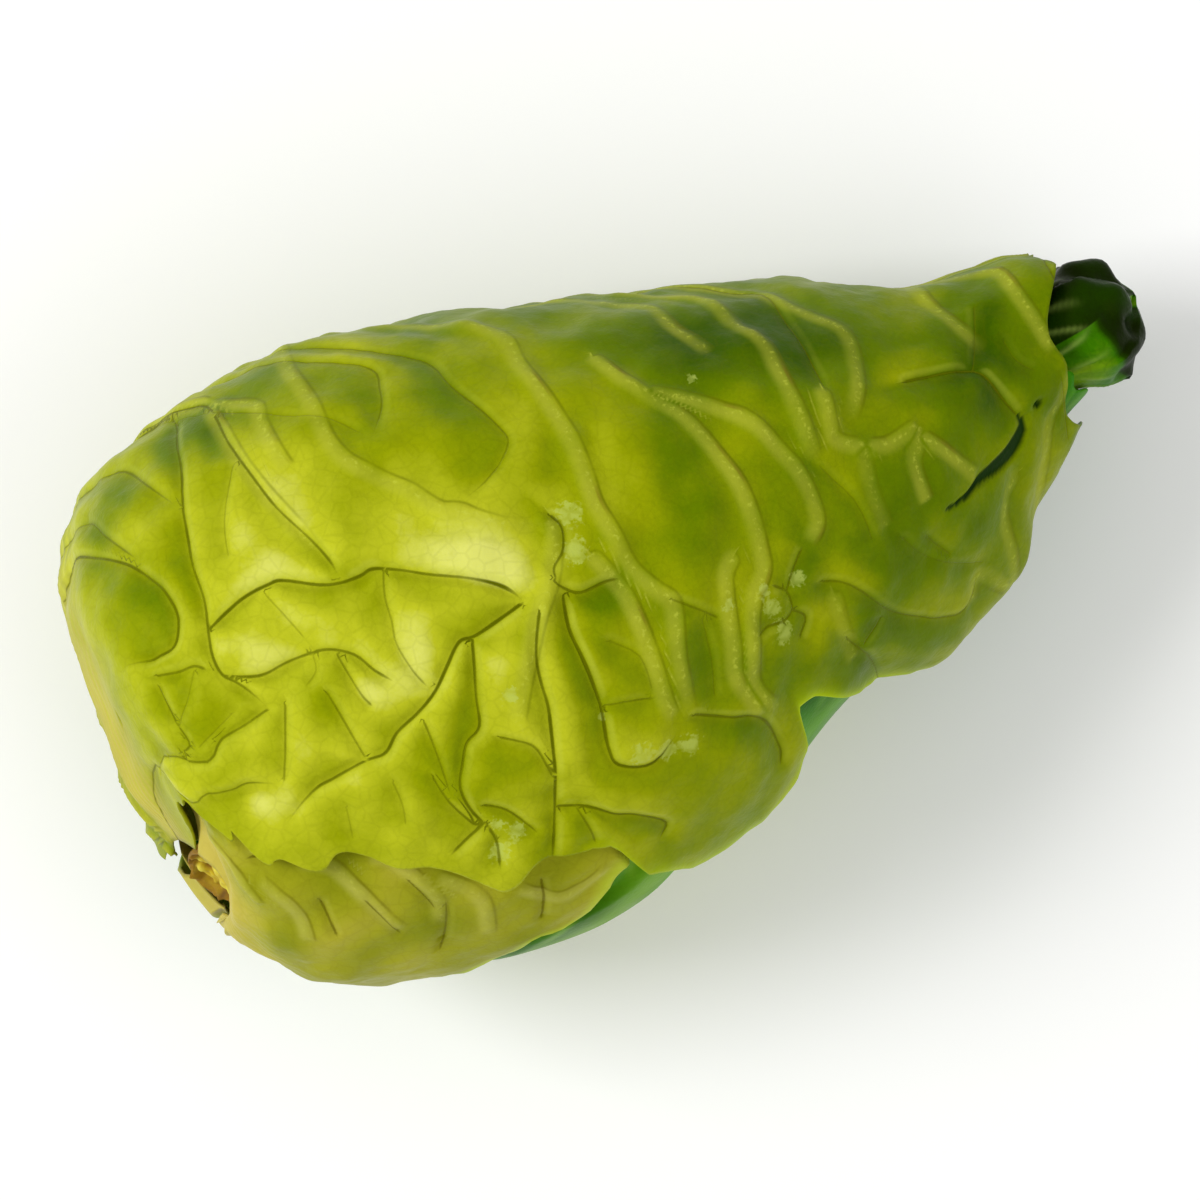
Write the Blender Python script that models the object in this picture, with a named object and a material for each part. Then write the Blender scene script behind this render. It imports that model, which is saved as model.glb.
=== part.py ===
"""A pointed cabbage lying on its side: the cut stem, five wrapper leaves and the heart.

Lengths below are in millimetres and angles in degrees; the meshes are made in metres.
The head lies along +X with its point at +X, and +Z is up. It rests on the underside of one leaf.
"""

import bpy
import numpy as np

# Driving dimensions
LENGTH = 240.0
MM = 0.001
BLADE = 0.9            # thickness of a leaf
PITCH = 1.8            # from one leaf's outer face to the next one's
CENTRE_X = 119.8       # middle of the head, measured from its blunt end
CENTRE_Y = -1.6        # middle of the head, measured from the line through its point

# The photograph's frame: millimetres a pixel, and the head's axis in it
MM_A_PIXEL = LENGTH / 1128
AXIS_RISE = 24.4
BLUNT_END = -210.0     # pixels along the axis
AXIS_LINE = 750.0      # pixels across the axis
LEAN_STEPS = 4         # rounds of fitting a pixel to the leaning sections

# The head's sections, from the stem to the point:
# outline point on the near side (x, y), outline point on the far side (x, y), lowest z, highest z,
# and how far the lowest point leans back towards the stem
SECTIONS = (
    (10.3, -37.0, 6.2, -20.8, 55.0, 82.0, 2.5),
    (6.0, -41.0, 2.5, -8.0, 46.0, 87.0, 4.2),
    (10.0, -48.5, 3.0, 12.0, 34.0, 93.0, 3.0),
    (15.0, -56.0, 4.5, 30.0, 22.0, 98.5, 1.6),
    (22.5, -62.5, 8.0, 45.0, 11.0, 103.5, 0.5),
    (31.5, -66.5, 14.0, 53.5, 3.0, 107.5, 0.0),
    (45.0, -70.5, 24.0, 60.0, -4.0, 110.5, 0.0),
    (62.0, -74.5, 42.0, 65.0, -8.5, 114.0, 0.0),
    (82.0, -75.8, 64.0, 67.0, -9.5, 116.0, 0.0),
    (103.0, -72.0, 90.0, 63.5, -9.5, 114.5, 0.0),
    (125.0, -65.5, 112.0, 57.0, -8.0, 109.5, 0.0),
    (146.0, -55.0, 135.0, 49.5, -4.0, 102.0, 0.0),
    (165.0, -48.0, 158.0, 42.0, 1.0, 93.0, 0.0),
    (184.0, -40.5, 178.0, 33.5, 7.0, 82.0, 0.0),
    (201.0, -29.0, 195.0, 24.5, 14.0, 71.0, 0.0),
    (216.0, -18.5, 210.0, 18.0, 21.0, 61.0, 0.0),
    (228.0, -13.5, 224.0, 15.0, 25.0, 55.0, 0.0),
    (236.0, -6.0, 234.0, 11.5, 31.0, 48.0, 0.0),
    (239.5, 3.0, 239.5, 3.0, 39.0, 39.0, 0.0),
)
EXTRA_LEAN = 0.7       # how much more than its lowest point a section's highest point leans
TIP = len(SECTIONS) - 1.0

# Ribs of the outer leaf that show, each a route over the head in pixels of the photograph
RIBS = (
    ((277, 352), (293, 375), (332, 439), (365, 470), (414, 492), (463, 513), (514, 527), (553, 515)),
    ((553, 520), (567, 541), (555, 582), (545, 600), (530, 650), (522, 720)),
    ((505, 345), (540, 393), (575, 450), (596, 505), (630, 566), (671, 602), (679, 663), (691, 720)),
    ((598, 364), (653, 401), (704, 440), (736, 485), (757, 542), (750, 596), (750, 655), (781, 704)),
    ((655, 395), (724, 411), (775, 450), (810, 501), (806, 546)),
    ((700, 307), (761, 348), (787, 399), (814, 464)),
    ((755, 297), (816, 321), (852, 364), (846, 424)),
    ((818, 401), (832, 440), (883, 446), (916, 426), (940, 450), (977, 477)),
    ((999, 289), (1038, 330), (1056, 351)),
    ((260, 416), (289, 463)),
)
# Folds of the outer leaf: sunk lines that part its puffed fields
FOLDS = (
    ((211, 408), (260, 479), (316, 538), (346, 577)),
    ((175, 420), (189, 504), (211, 595), (220, 652), (277, 706), (203, 760)),
    ((93, 520), (128, 550), (185, 601), (167, 654)),
    ((218, 626), (252, 595), (326, 584), (406, 569), (473, 578), (528, 602)),
    ((526, 602), (463, 641), (440, 690), (391, 751), (320, 788)),
    ((232, 674), (316, 652), (402, 680)),
    ((571, 627), (604, 708), (620, 763), (679, 727)),
    ((540, 614), (551, 708), (561, 820)),
)
# The outer leaf's near edge: pixels of the photograph, from the stem to the point
NEAR_EDGE = (
    (189, 821), (214, 812), (238, 826), (250, 850), (280, 858), (330, 858), (375, 850), (406, 857),
    (442, 868), (470, 872), (500, 876), (535, 865), (560, 858), (590, 838), (612, 838), (633, 858),
    (650, 872), (690, 866), (718, 846), (760, 820), (795, 775), (805, 745), (800, 712), (815, 699),
)

# Each leaf's outline: (section, angle) along its two side edges, and (share across, section)
# along its end edge. Angles go from the top, 0, over the far side, 90, to the underside, 180.
LEAVES = {
    "outer_leaf": {
        "depth": 1,
        "grid": (44, 28),
        "near": None,
        "far": ((0.25, 135), (0.5, 136), (0.75, 164), (1.3, 168), (2, 154), (3.5, 140), (11, 138),
                (14, 142), (16, 150)),
        "end": ((0, 15.0), (0.3, 15.2), (0.6, 15.9), (0.8, 15.9), (1, 15.0)),
        "rib": ((0, 84), (3, 88), (6, 104), (11, 112), (16, 88)),
    },
    "lower_leaf": {
        "depth": 2,
        "grid": (20, 18),
        "near": ((0.25, -114), (1.3, -114), (2, -136), (3, -152), (5, -155)),
        "far": ((0.25, 38), (1.3, 30), (2, 24), (4, 14), (6, 0), (9, -22)),
        "end": ((0, 2.8), (0.25, 5.0), (0.45, 6.2), (0.53, 6.6), (0.58, 7.1), (0.62, 7.9), (0.66, 8.3),
                (0.71, 8.6), (0.8, 9.0), (1, 8.8)),
        "rib": ((0, -62), (3, -72), (6, -70), (9, -50)),
    },
    "side_leaf": {
        "depth": 3,
        "grid": (20, 18),
        "near": ((0.25, -172), (1.3, -172), (2, -180), (3, -185), (5, -190)),
        "far": ((0.25, -121), (1.3, -121), (2, -98), (3, -70), (5, -50), (9, -45)),
        "end": ((0, 4.0), (0.3, 5.6), (0.62, 6.4), (0.72, 8.2), (0.78, 8.9), (0.9, 9.3), (1, 8.8)),
        "rib": ((0, -145), (3, -130), (6, -105), (9, -70)),
    },
    "under_leaf": {
        "depth": 4.2,
        "grid": (30, 24),
        "near": ((0.25, -219), (1.3, -219), (3, -236), (6, -238), (11, -236)),
        "far": ((0.25, -179), (1.3, -179), (2.2, -162), (3.5, -130), (5, -95), (6.5, -62), (9, -60)),
        "end": ((0, 10.2), (0.3, 11.3), (0.55, 11.4), (0.7, 10.9), (0.76, 9.9), (0.85, 9.4), (1, 9.0)),
        "rib": ((0, -198), (4, -188), (11, -165)),
    },
    "inner_leaf": {
        "depth": 2,
        "grid": (20, 12),
        "near": ((9.7, -92), (11.2, -94), (12.2, -128), (13.5, -150), (16, -150)),
        "far": ((9.7, -40), (16, -5)),
        "end": ((0, 14.6), (0.3, 15.3), (0.7, 15.5), (1, 15.2)),
        "rib": ((9.7, -70), (12, -80), (16, -70)),
        "start": 9.7,
    },
}
LEAF_START = 0.25      # the section at which the leaves leave the stem
EDGE_WAVER = 2.0       # degrees that a side edge sways
END_WAVER = 0.12       # sections that an end edge sways
CLOSER = 1.25          # above 1, a leaf's rows of faces stand closer near the stem, where it bends most

# The cut stem
STEM_MIDDLE = (9.6, -29.0, 68.5)
STEM_AXIS = (-0.88, -0.38, 0.29)
STEM_HALF_WIDTH = 7.2
STEM_HALF_HEIGHT = 12.0
STEM_STUB = 6.0
STEM_SIDES = 28

# The heart
HEART_START = 2.8
HEART_GRID = (26, 28)
HEART_LEAVES = 4       # edges that lap round it
HEART_STEP = 1.2       # how far each edge stands out

# Materials: red, green and blue in linear light, and roughness
FINISHES = {
    "outer_leaf": ((0.29, 0.42, 0.03), 0.38),
    "lower_leaf": ((0.40, 0.40, 0.10), 0.42),
    "side_leaf": ((0.07, 0.20, 0.01), 0.42),
    "under_leaf": ((0.36, 0.45, 0.08), 0.42),
    "inner_leaf": ((0.06, 0.20, 0.01), 0.40),
    "heart": ((0.04, 0.10, 0.01), 0.42),
    "stem": ((0.42, 0.27, 0.05), 0.60),
}


def unit(vector):
    """The vector, or each vector of an array, at length 1."""
    return np.asarray(vector, float) / np.linalg.norm(vector, axis=-1, keepdims=True)


def curve_through(rows, at):
    """Smooth curve (Catmull-Rom) through rows of numbers; at counts rows from the first."""
    rows = np.asarray(rows, float)
    row = np.clip(np.floor(at).astype(int), 0, len(rows) - 2)
    t = (at - row)[..., None]
    before, here, after, later = (rows[np.clip(row + k, 0, len(rows) - 1)] for k in (-1, 0, 1, 2))
    straight = (after - before) * t
    bend = (2 * before - 5 * here + 4 * after - later) * t**2
    twist = (3 * here - before - 3 * after + later) * t**3
    return 0.5 * (2 * here + straight + bend + twist)


def skin(section, angle):
    """Point on the head's outer form: an ellipse through each section's outline points, which
    leans at the stem, so that the stem shows from above."""
    row = np.moveaxis(curve_through(SECTIONS, section), -1, 0)
    near_x, near_y, far_x, far_y, low, high, lean = row
    side, up = np.sin(np.radians(angle)), np.cos(np.radians(angle))
    x = (near_x + far_x) / 2 + side * (far_x - near_x) / 2 + lean * leaning(up)
    y = (near_y + far_y) / 2 + side * (far_y - near_y) / 2
    return np.stack([x, y, (low + high) / 2 + up * (high - low) / 2], axis=-1)


def leaning(up):
    """Share of a section's lean at a height: -1 at its lowest point, more than 1 at its highest."""
    return up + EXTRA_LEAN * np.maximum(up, 0) ** 2


def outward(section, angle):
    """Direction out of the skin: its normal, turned to the stem's own axis near the stem."""
    along = skin(section + 0.05, angle) - skin(section - 0.05, angle)
    around = skin(section, angle + 1) - skin(section, angle - 1)
    normal = unit(np.cross(along, around))
    share = ease(0.8, 3.6, section)[..., None]
    return unit(normal * share + unit(STEM_AXIS) * (1 - share))


def sheet(section, angle, depth, floor):
    """Points at a depth under the skin, pressed flat where they would go below the floor."""
    points = skin(section, angle) - outward(section, angle) * np.asarray(depth)[..., None]
    points[..., 2] = np.maximum(points[..., 2], floor)
    return points


def ease(low, high, value):
    """0 below low, 1 above high, and a smooth rise between."""
    t = np.clip((value - low) / (high - low), 0, 1)
    return t * t * (3 - 2 * t)


def plan_of(pixels):
    """Pixels of the photograph as x and y on the head, seen from above."""
    pixels = np.asarray(pixels, float)
    rise = np.radians(AXIS_RISE)
    along = pixels[:, 0] * np.cos(rise) - pixels[:, 1] * np.sin(rise)
    across = pixels[:, 0] * np.sin(rise) + pixels[:, 1] * np.cos(rise)
    return np.stack([along - BLUNT_END, AXIS_LINE - across], axis=-1) * MM_A_PIXEL


def place(pixels):
    """Section and angle of each pixel of the photograph, on the upper half of the skin."""
    plan = plan_of(pixels)
    sections = np.linspace(1.2, TIP - 0.2, 900)
    rows = curve_through(SECTIONS, sections)
    middle, half = (rows[:, 0:2] + rows[:, 2:4]) / 2, (rows[:, 2:4] - rows[:, 0:2]) / 2
    length = np.linalg.norm(half, axis=1)
    lean = np.zeros(len(plan))
    for _ in range(LEAN_STEPS):
        away = plan[:, None] - np.stack([lean, 0 * lean], axis=-1)[:, None] - middle
        off_line = np.abs(away[..., 0] * half[:, 1] - away[..., 1] * half[:, 0]) / length
        share = (away * half).sum(axis=-1) / length**2
        best = np.argmin(off_line + 50 * np.maximum(np.abs(share) - 1.1, 0), axis=1)
        share = np.clip(share[np.arange(len(plan)), best], -1, 1)
        lean = rows[best, 6] * leaning(np.sqrt(1 - share**2))
    return sections[best], np.degrees(np.arcsin(share))


def distance_to(route, points):
    """Shortest distance from each point to a polyline in space."""
    nearest = np.full(points.shape[:-1], np.inf)
    for start, end in zip(route[:-1], route[1:]):
        step = end - start
        t = np.clip(((points - start) @ step) / (step @ step), 0, 1)
        gap = np.linalg.norm(points - start - t[..., None] * step, axis=-1)
        nearest = np.minimum(nearest, gap)
    return nearest


def over_the_back(pixels):
    """A rib's route on the skin, carried on over the far side to the leaf's midrib."""
    section, angle = place(pixels)
    if angle[0] > 45:
        share = np.linspace(1, 0.2, 4)
        section = np.concatenate([section[0] - 1.6 * share, section])
        angle = np.concatenate([angle[0] + (112 - angle[0]) * share, angle])
    return skin(section, angle)


def leaf_ribs(section, angle, rib, spacing, height):
    """Side ribs that leave a leaf's midrib in pairs and sweep towards the point."""
    from_rib = angle - rib
    lane = (section - 0.035 * np.abs(from_rib)) / spacing
    from_lane = np.abs(lane - np.round(lane)) * spacing
    fade = ease(3, 14, np.abs(from_rib)) * ease(100, 50, np.abs(from_rib))
    return height * fade * np.exp(-((from_lane / 0.2) ** 2))


def midrib(section, angle, rib):
    """The thick rib down a leaf's middle: broad at the stem, thin further on."""
    width = 26 - 18 * ease(0, 5, section)
    height = 2.0 - 1.2 * ease(1, 8, section)
    return height * np.exp(-(((angle - rib) / width) ** 2)) * ease(0.2, 1.5, section)


def outer_relief(section, angle, rib):
    """Ribs, folds and puffed fields of the outer leaf, all outwards from its lowest level."""
    points = skin(section, angle)
    field = 0.8 + 0.35 * np.sin(1.9 * section + angle / 17) * np.sin(angle / 11 - 0.8 * section)
    for pixels in FOLDS:
        field -= 0.8 * np.exp(-((distance_to(skin(*place(pixels)), points) / 4.0) ** 2))
    ridge = np.zeros_like(section)
    for pixels in RIBS:
        ridge = np.maximum(ridge, 2.0 * np.exp(-((distance_to(over_the_back(pixels), points) / 4.2) ** 2)))
    back = leaf_ribs(section, angle, rib, 1.25, 1.2) * ease(92, 112, angle)
    lobe = 4.0 * ease(11.2, 12.6, section) * ease(14.6, 13.2, section) * ease(-55, -88, angle)
    curl = 5.0 * ease(13.9, 15.6, section) * ease(0, 50, angle) * ease(140, 100, angle)
    waves = 0.8 * (1 + np.sin(5.3 * section)) * ease(-40, -85, angle) * ease(8.3, 9.3, section)
    raised = np.maximum(ridge, back) + midrib(section, angle, rib)
    return np.maximum(field, 0) + raised + lobe + curl + waves


def plain_relief(name, section, angle, rib):
    """Ribs of a wrapper leaf where it shows, and none where another leaf covers it."""
    ribs = leaf_ribs(section, angle, rib, 1.1, 0.9) + 0.6 * midrib(section, angle, rib)
    if name == "lower_leaf":
        shows = ease(0, -8, angle - edge_at(near_edge_of_outer_leaf(), section))
        return (ribs + 0.5 + 0.5 * np.sin(2.6 * section + angle / 9)) * shows
    if name == "side_leaf":
        flared = 2.8 * ease(0.3, 0.8, section) * ease(2.0, 1.2, section) * ease(-119, -130, angle)
        bare = ease(0.25, 0.6, past_lower_leaf(section, angle)) * ease(-104, -92, angle)
        return ribs * ease(-150, -165, angle) * ease(0.9, 1.6, section) + flared + 2.0 * bare
    if name == "under_leaf":
        clear = ease(5.2, 6.6, section) * ease(-108, -125, angle) * ease(-212, -198, angle)
        return ribs * clear * ease(60, 40, np.abs(angle + 180) * 2)
    return 0.4 * ribs * ease(-88, -110, angle)


def past_lower_leaf(section, angle):
    """How many sections a place is beyond the lower leaf's end edge."""
    leaf = LEAVES["lower_leaf"]
    near, far = edge_at(leaf["near"], section), edge_at(leaf["far"], section)
    return section - edge_at(leaf["end"], (angle - near) / (far - near))


def edge_at(points, at):
    """Value read from a leaf outline's (position, value) points, straight between them."""
    positions, values = zip(*points)
    return np.interp(at, positions, values)


def near_edge_of_outer_leaf():
    """The outer leaf's near edge as (section, angle), and on past its notch to the point."""
    section, angle = place(NEAR_EDGE)
    order = np.argsort(section)
    seen = list(zip(section[order], angle[order]))
    start = [(LEAF_START, 48), (0.9, 46)]
    past_notch = [(11.0, -60), (11.4, -72), (12.0, -90), (13, -96), (14.5, -97), (16, -95)]
    return start + [point for point in seen if point[0] < 10.9] + past_notch


def leaf_points(name, leaf):
    """Outer and inner face of a leaf, as grids of points."""
    along, across = leaf["grid"]
    u, v = np.meshgrid(np.linspace(0, 1, along + 1), np.linspace(0, 1, across + 1), indexing="ij")
    start = leaf.get("start", LEAF_START)
    end = edge_at(leaf["end"], v) + END_WAVER * np.sin(22 * v + leaf["depth"])
    section = start + u**CLOSER * (end - start)
    near_edge = leaf["near"] or near_edge_of_outer_leaf()
    near, far = edge_at(near_edge, section), edge_at(leaf["far"], section)
    waver = EDGE_WAVER * np.sin(6.5 * section + leaf["depth"]) * ease(1.5, 3, section)
    angle = near + waver + v * (far - near - 2 * waver)
    rib = edge_at(leaf["rib"], section)
    if name == "outer_leaf":
        relief = outer_relief(section, angle, rib)
    else:
        relief = plain_relief(name, section, angle, rib)
    settle = ease(0.0, 1.0, section)
    depth = leaf["depth"] * PITCH * settle - relief
    outer = sheet(section, angle, depth, 0.0)
    inner = sheet(section, angle, depth + BLADE, BLADE)
    return outer, inner


def heart_points():
    """The heart's skin: a closed head on which each leaf's edge stands out from the next."""
    along, across = HEART_GRID
    u, v = np.meshgrid(np.linspace(0, 1, along + 1), np.arange(across) / across, indexing="ij")
    section = HEART_START + u * (TIP - 0.25 - HEART_START)
    angle = 360 * v
    turn = HEART_LEAVES * v + 0.09 * section
    lap = HEART_STEP * (turn - np.floor(turn))
    deep, shallow, bare = 5.9 * PITCH, 3.8 * PITCH, 0.9
    depth = deep - (deep - shallow) * ease(11.6, 13.2, section)
    depth = depth - (shallow - bare) * ease(15.3, 16.2, section)
    crinkle = 1.5 * ease(15.8, 16.5, section) * ease(17.7, 16.8, section) * np.sin(np.radians(5 * angle) + 3 * section)
    return sheet(section, angle, depth - lap - crinkle, 1.5 * PITCH)


def make_object(name, points, faces):
    """A mesh object of its own material, from points in millimetres."""
    mesh = bpy.data.meshes.new(name)
    shifted = (points - np.array([CENTRE_X, CENTRE_Y, 0])) * MM
    mesh.from_pydata(shifted.tolist(), [], faces)
    mesh.validate()
    mesh.shade_smooth()
    mesh.set_sharp_from_angle(angle=np.radians(50))
    mesh.materials.append(make_material(name))
    made = bpy.data.objects.new(name, mesh)
    bpy.context.scene.collection.objects.link(made)
    return made


def make_material(name):
    """The Principled material of a sub-part."""
    colour, roughness = FINISHES[name]
    material = bpy.data.materials.new(name)
    material.use_nodes = True
    shader = material.node_tree.nodes["Principled BSDF"]
    shader.inputs["Base Color"].default_value = (*colour, 1)
    shader.inputs["Roughness"].default_value = roughness
    shader.inputs["Metallic"].default_value = 0
    return material


def split_squares(points, a, b, c, d):
    """Two triangles for each square of a grid, split along its shorter diagonal."""
    first = np.linalg.norm(points[a] - points[c], axis=-1)[..., None]
    second = np.linalg.norm(points[b] - points[d], axis=-1)[..., None]
    half = np.where(first <= second, np.stack([a, b, c], -1), np.stack([a, b, d], -1))
    rest = np.where(first <= second, np.stack([a, c, d], -1), np.stack([b, c, d], -1))
    return np.concatenate([half.reshape(-1, 3), rest.reshape(-1, 3)])


def make_leaf(name, leaf):
    """A leaf as a closed blade: two faces split alike into triangles, and a rim round them."""
    outer, inner = leaf_points(name, leaf)
    rows, columns = outer.shape[:2]
    count = rows * columns
    index = np.arange(count).reshape(rows, columns)
    a, b, c, d = index[:-1, :-1], index[1:, :-1], index[1:, 1:], index[:-1, 1:]
    top = split_squares(outer.reshape(-1, 3), a, b, c, d)
    rim = np.concatenate([index[0, :-1], index[:-1, -1], index[-1, :0:-1], index[:0:-1, 0]])
    following = np.roll(rim, -1)
    sides = np.concatenate([
        np.stack([rim, following, following + count], -1),
        np.stack([rim, following + count, rim + count], -1),
    ])
    faces = np.concatenate([top, top[:, ::-1] + count, sides])
    return make_object(name, np.concatenate([outer.reshape(-1, 3), inner.reshape(-1, 3)]), faces.tolist())


def make_heart():
    """The heart: rings of points, closed at the stem end and at the point."""
    rings = heart_points()
    rows, columns = rings.shape[:2]
    index = np.arange(rows * columns).reshape(rows, columns)
    after = np.roll(index, -1, axis=1)
    a, b, c, d = index[:-1], index[1:], after[1:], after[:-1]
    walls = split_squares(rings.reshape(-1, 3), a, b, c, d)
    base, point = rows * columns, rows * columns + 1
    ends = [(base, int(i), int(j)) for i, j in zip(index[0], after[0])]
    ends += [(point, int(j), int(i)) for i, j in zip(index[-1], after[-1])]
    base_point = np.array(STEM_MIDDLE) - (STEM_STUB + 5) * unit(STEM_AXIS)
    tip_point = skin(np.array(TIP), np.array(0.0))
    points = np.concatenate([rings.reshape(-1, 3), [base_point, tip_point]])
    return make_object("heart", points, walls.tolist() + ends)


def make_stem():
    """The stem: a short oval stub with a worn rim, cut square across its slant."""
    axis = unit(STEM_AXIS)
    side = unit(np.cross((0, 0, 1), axis))
    up = np.cross(axis, side)
    turn = np.linspace(0, 2 * np.pi, STEM_SIDES, endpoint=False)[:, None]
    oval = np.cos(turn) * side * STEM_HALF_WIDTH + np.sin(turn) * up * STEM_HALF_HEIGHT
    worn = 0.8
    rings = [
        np.array(STEM_MIDDLE) + share * oval - back * axis
        for share, back in ((0.93, 0), (1, worn), (1, STEM_STUB - worn), (0.9, STEM_STUB))
    ]
    points = np.concatenate([*rings, [np.array(STEM_MIDDLE)], [np.array(STEM_MIDDLE) - STEM_STUB * axis]])
    front, back = len(points) - 2, len(points) - 1
    faces = []
    for i in range(STEM_SIDES):
        j = (i + 1) % STEM_SIDES
        faces.append((front, i, j))
        faces.append((back, 3 * STEM_SIDES + j, 3 * STEM_SIDES + i))
        for ring in range(3):
            low, high = ring * STEM_SIDES, (ring + 1) * STEM_SIDES
            faces.append((low + i, high + i, high + j, low + j))
    return make_object("stem", points, faces)


for old in list(bpy.data.objects):
    bpy.data.objects.remove(old)
make_stem()
make_heart()
for leaf_name, leaf_form in LEAVES.items():
    make_leaf(leaf_name, leaf_form)
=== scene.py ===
# %% [markdown]
# # A pointed cabbage, lying on its side
#
# The head is a dense cone of leaves with a few looser wrapper leaves round it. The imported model
# already holds every leaf, the heart and the stem as plain solids. This script keeps each of them
# where it is and makes a finer piece in its place, with the ribs, folds and veins that the eye
# looks for in a cabbage. Lengths are in millimetres until a mesh is made, and angles in degrees.

import bpy
import numpy as np
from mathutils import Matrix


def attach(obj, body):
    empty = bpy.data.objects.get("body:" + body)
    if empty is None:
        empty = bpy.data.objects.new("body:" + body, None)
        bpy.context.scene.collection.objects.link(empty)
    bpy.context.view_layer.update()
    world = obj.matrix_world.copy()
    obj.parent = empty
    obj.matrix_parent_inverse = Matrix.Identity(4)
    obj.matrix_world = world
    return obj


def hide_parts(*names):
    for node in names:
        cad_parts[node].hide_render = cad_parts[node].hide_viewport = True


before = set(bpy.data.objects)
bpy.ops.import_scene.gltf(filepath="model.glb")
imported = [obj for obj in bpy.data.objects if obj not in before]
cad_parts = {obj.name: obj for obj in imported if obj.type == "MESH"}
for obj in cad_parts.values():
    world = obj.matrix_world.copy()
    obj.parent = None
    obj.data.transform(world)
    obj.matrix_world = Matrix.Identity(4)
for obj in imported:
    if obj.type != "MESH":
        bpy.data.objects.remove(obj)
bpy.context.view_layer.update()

MM = 0.001

# %% [markdown]
# ## The form that all leaves share
#
# Leaves of one head nest: each follows the head's outer form, a little deeper than the one that
# laps over it. So one function of two parameters, a place along the head and an angle round it,
# carries every leaf. A loft through a few listed sections is enough, because the small forms
# come later as relief. Each section is an ellipse, given by its two outline points seen from
# above and by its lowest and highest point, and a smooth curve runs through them.

# %% Sections of the head
# Each row: near side x, y; far side x, y; lowest z; highest z; lean at the stem
SECTIONS = (
    (10.3, -37.0, 6.2, -20.8, 55.0, 82.0, 2.5),
    (6.0, -41.0, 2.5, -8.0, 46.0, 87.0, 4.2),
    (10.0, -48.5, 3.0, 12.0, 34.0, 93.0, 3.0),
    (15.0, -56.0, 4.5, 30.0, 22.0, 98.5, 1.6),
    (22.5, -62.5, 8.0, 45.0, 11.0, 103.5, 0.5),
    (31.5, -66.5, 14.0, 53.5, 3.0, 107.5, 0.0),
    (45.0, -70.5, 24.0, 60.0, -4.0, 110.5, 0.0),
    (62.0, -74.5, 42.0, 65.0, -8.5, 114.0, 0.0),
    (82.0, -75.8, 64.0, 67.0, -9.5, 116.0, 0.0),
    (103.0, -72.0, 90.0, 63.5, -9.5, 114.5, 0.0),
    (125.0, -65.5, 112.0, 57.0, -8.0, 109.5, 0.0),
    (146.0, -55.0, 135.0, 49.5, -4.0, 102.0, 0.0),
    (165.0, -48.0, 158.0, 42.0, 1.0, 93.0, 0.0),
    (184.0, -40.5, 178.0, 33.5, 7.0, 82.0, 0.0),
    (201.0, -29.0, 195.0, 24.5, 14.0, 71.0, 0.0),
    (216.0, -18.5, 210.0, 18.0, 21.0, 61.0, 0.0),
    (228.0, -13.5, 224.0, 15.0, 25.0, 55.0, 0.0),
    (236.0, -6.0, 234.0, 11.5, 31.0, 48.0, 0.0),
    (239.5, 3.0, 239.5, 3.0, 39.0, 39.0, 0.0),
)
EXTRA_LEAN = 0.7       # how much more than its lowest point a section's highest leans
TIP = len(SECTIONS) - 1.0
CENTRE = np.array([119.8, -1.6, 0.0])
STEM_AXIS = np.array([-0.88, -0.38, 0.29]) / np.linalg.norm([-0.88, -0.38, 0.29])
BLADE = 0.9            # thickness of a leaf
PITCH = 1.8            # how much deeper each leaf lies than the one that laps over it


def ease(low, high, value):
    """0 below low, 1 above high, and the smooth step 3t^2 - 2t^3 between."""
    t = np.clip((value - low) / (high - low), 0, 1)
    return t * t * (3 - 2 * t)


def unit(vectors):
    """Each vector divided by its own length."""
    return vectors / np.linalg.norm(vectors, axis=-1, keepdims=True)


def curve_through(rows, at):
    """Catmull-Rom curve: a cubic between two rows whose slopes there are half the step between
    the rows before and after."""
    rows = np.asarray(rows, float)
    row = np.clip(np.floor(at).astype(int), 0, len(rows) - 2)
    t = (at - row)[..., None]
    before, here, after, later = (rows[np.clip(row + k, 0, len(rows) - 1)] for k in (-1, 0, 1, 2))
    straight = (after - before) * t
    bend = (2 * before - 5 * here + 4 * after - later) * t**2
    twist = (3 * here - before - 3 * after + later) * t**3
    return 0.5 * (2 * here + straight + bend + twist)


def leaning(up):
    """Share of a section's lean at a height: -1 at its lowest point, more than 1 at its highest."""
    return up + EXTRA_LEAN * np.maximum(up, 0) ** 2


def skin(section, angle):
    """Point on the head: the ellipse's middle, plus its sideways half times the sine of the
    angle, plus its upright half times the cosine. Angle 0 is the top and 90 the far side. Near
    the stem, x also leans, so that the cut stem shows from above."""
    row = np.moveaxis(curve_through(SECTIONS, section), -1, 0)
    near_x, near_y, far_x, far_y, low, high, lean = row
    side, up = np.sin(np.radians(angle)), np.cos(np.radians(angle))
    x = (near_x + far_x) / 2 + side * (far_x - near_x) / 2 + lean * leaning(up)
    y = (near_y + far_y) / 2 + side * (far_y - near_y) / 2
    return np.stack([x, y, (low + high) / 2 + up * (high - low) / 2], axis=-1)


def outward(section, angle):
    """The skin's normal, the cross product of its two slopes, turned to the stem's axis near
    the stem, where the leaves bend over too sharply for their own normals."""
    along = skin(section + 0.05, angle) - skin(section - 0.05, angle)
    around = skin(section, angle + 1) - skin(section, angle - 1)
    share = ease(0.8, 3.6, section)[..., None]
    return unit(unit(np.cross(along, around)) * share + STEM_AXIS * (1 - share))


print("head of", len(SECTIONS), "sections, top at",
      skin(np.array(8.0), np.array(0.0)).round(1).tolist())

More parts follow.
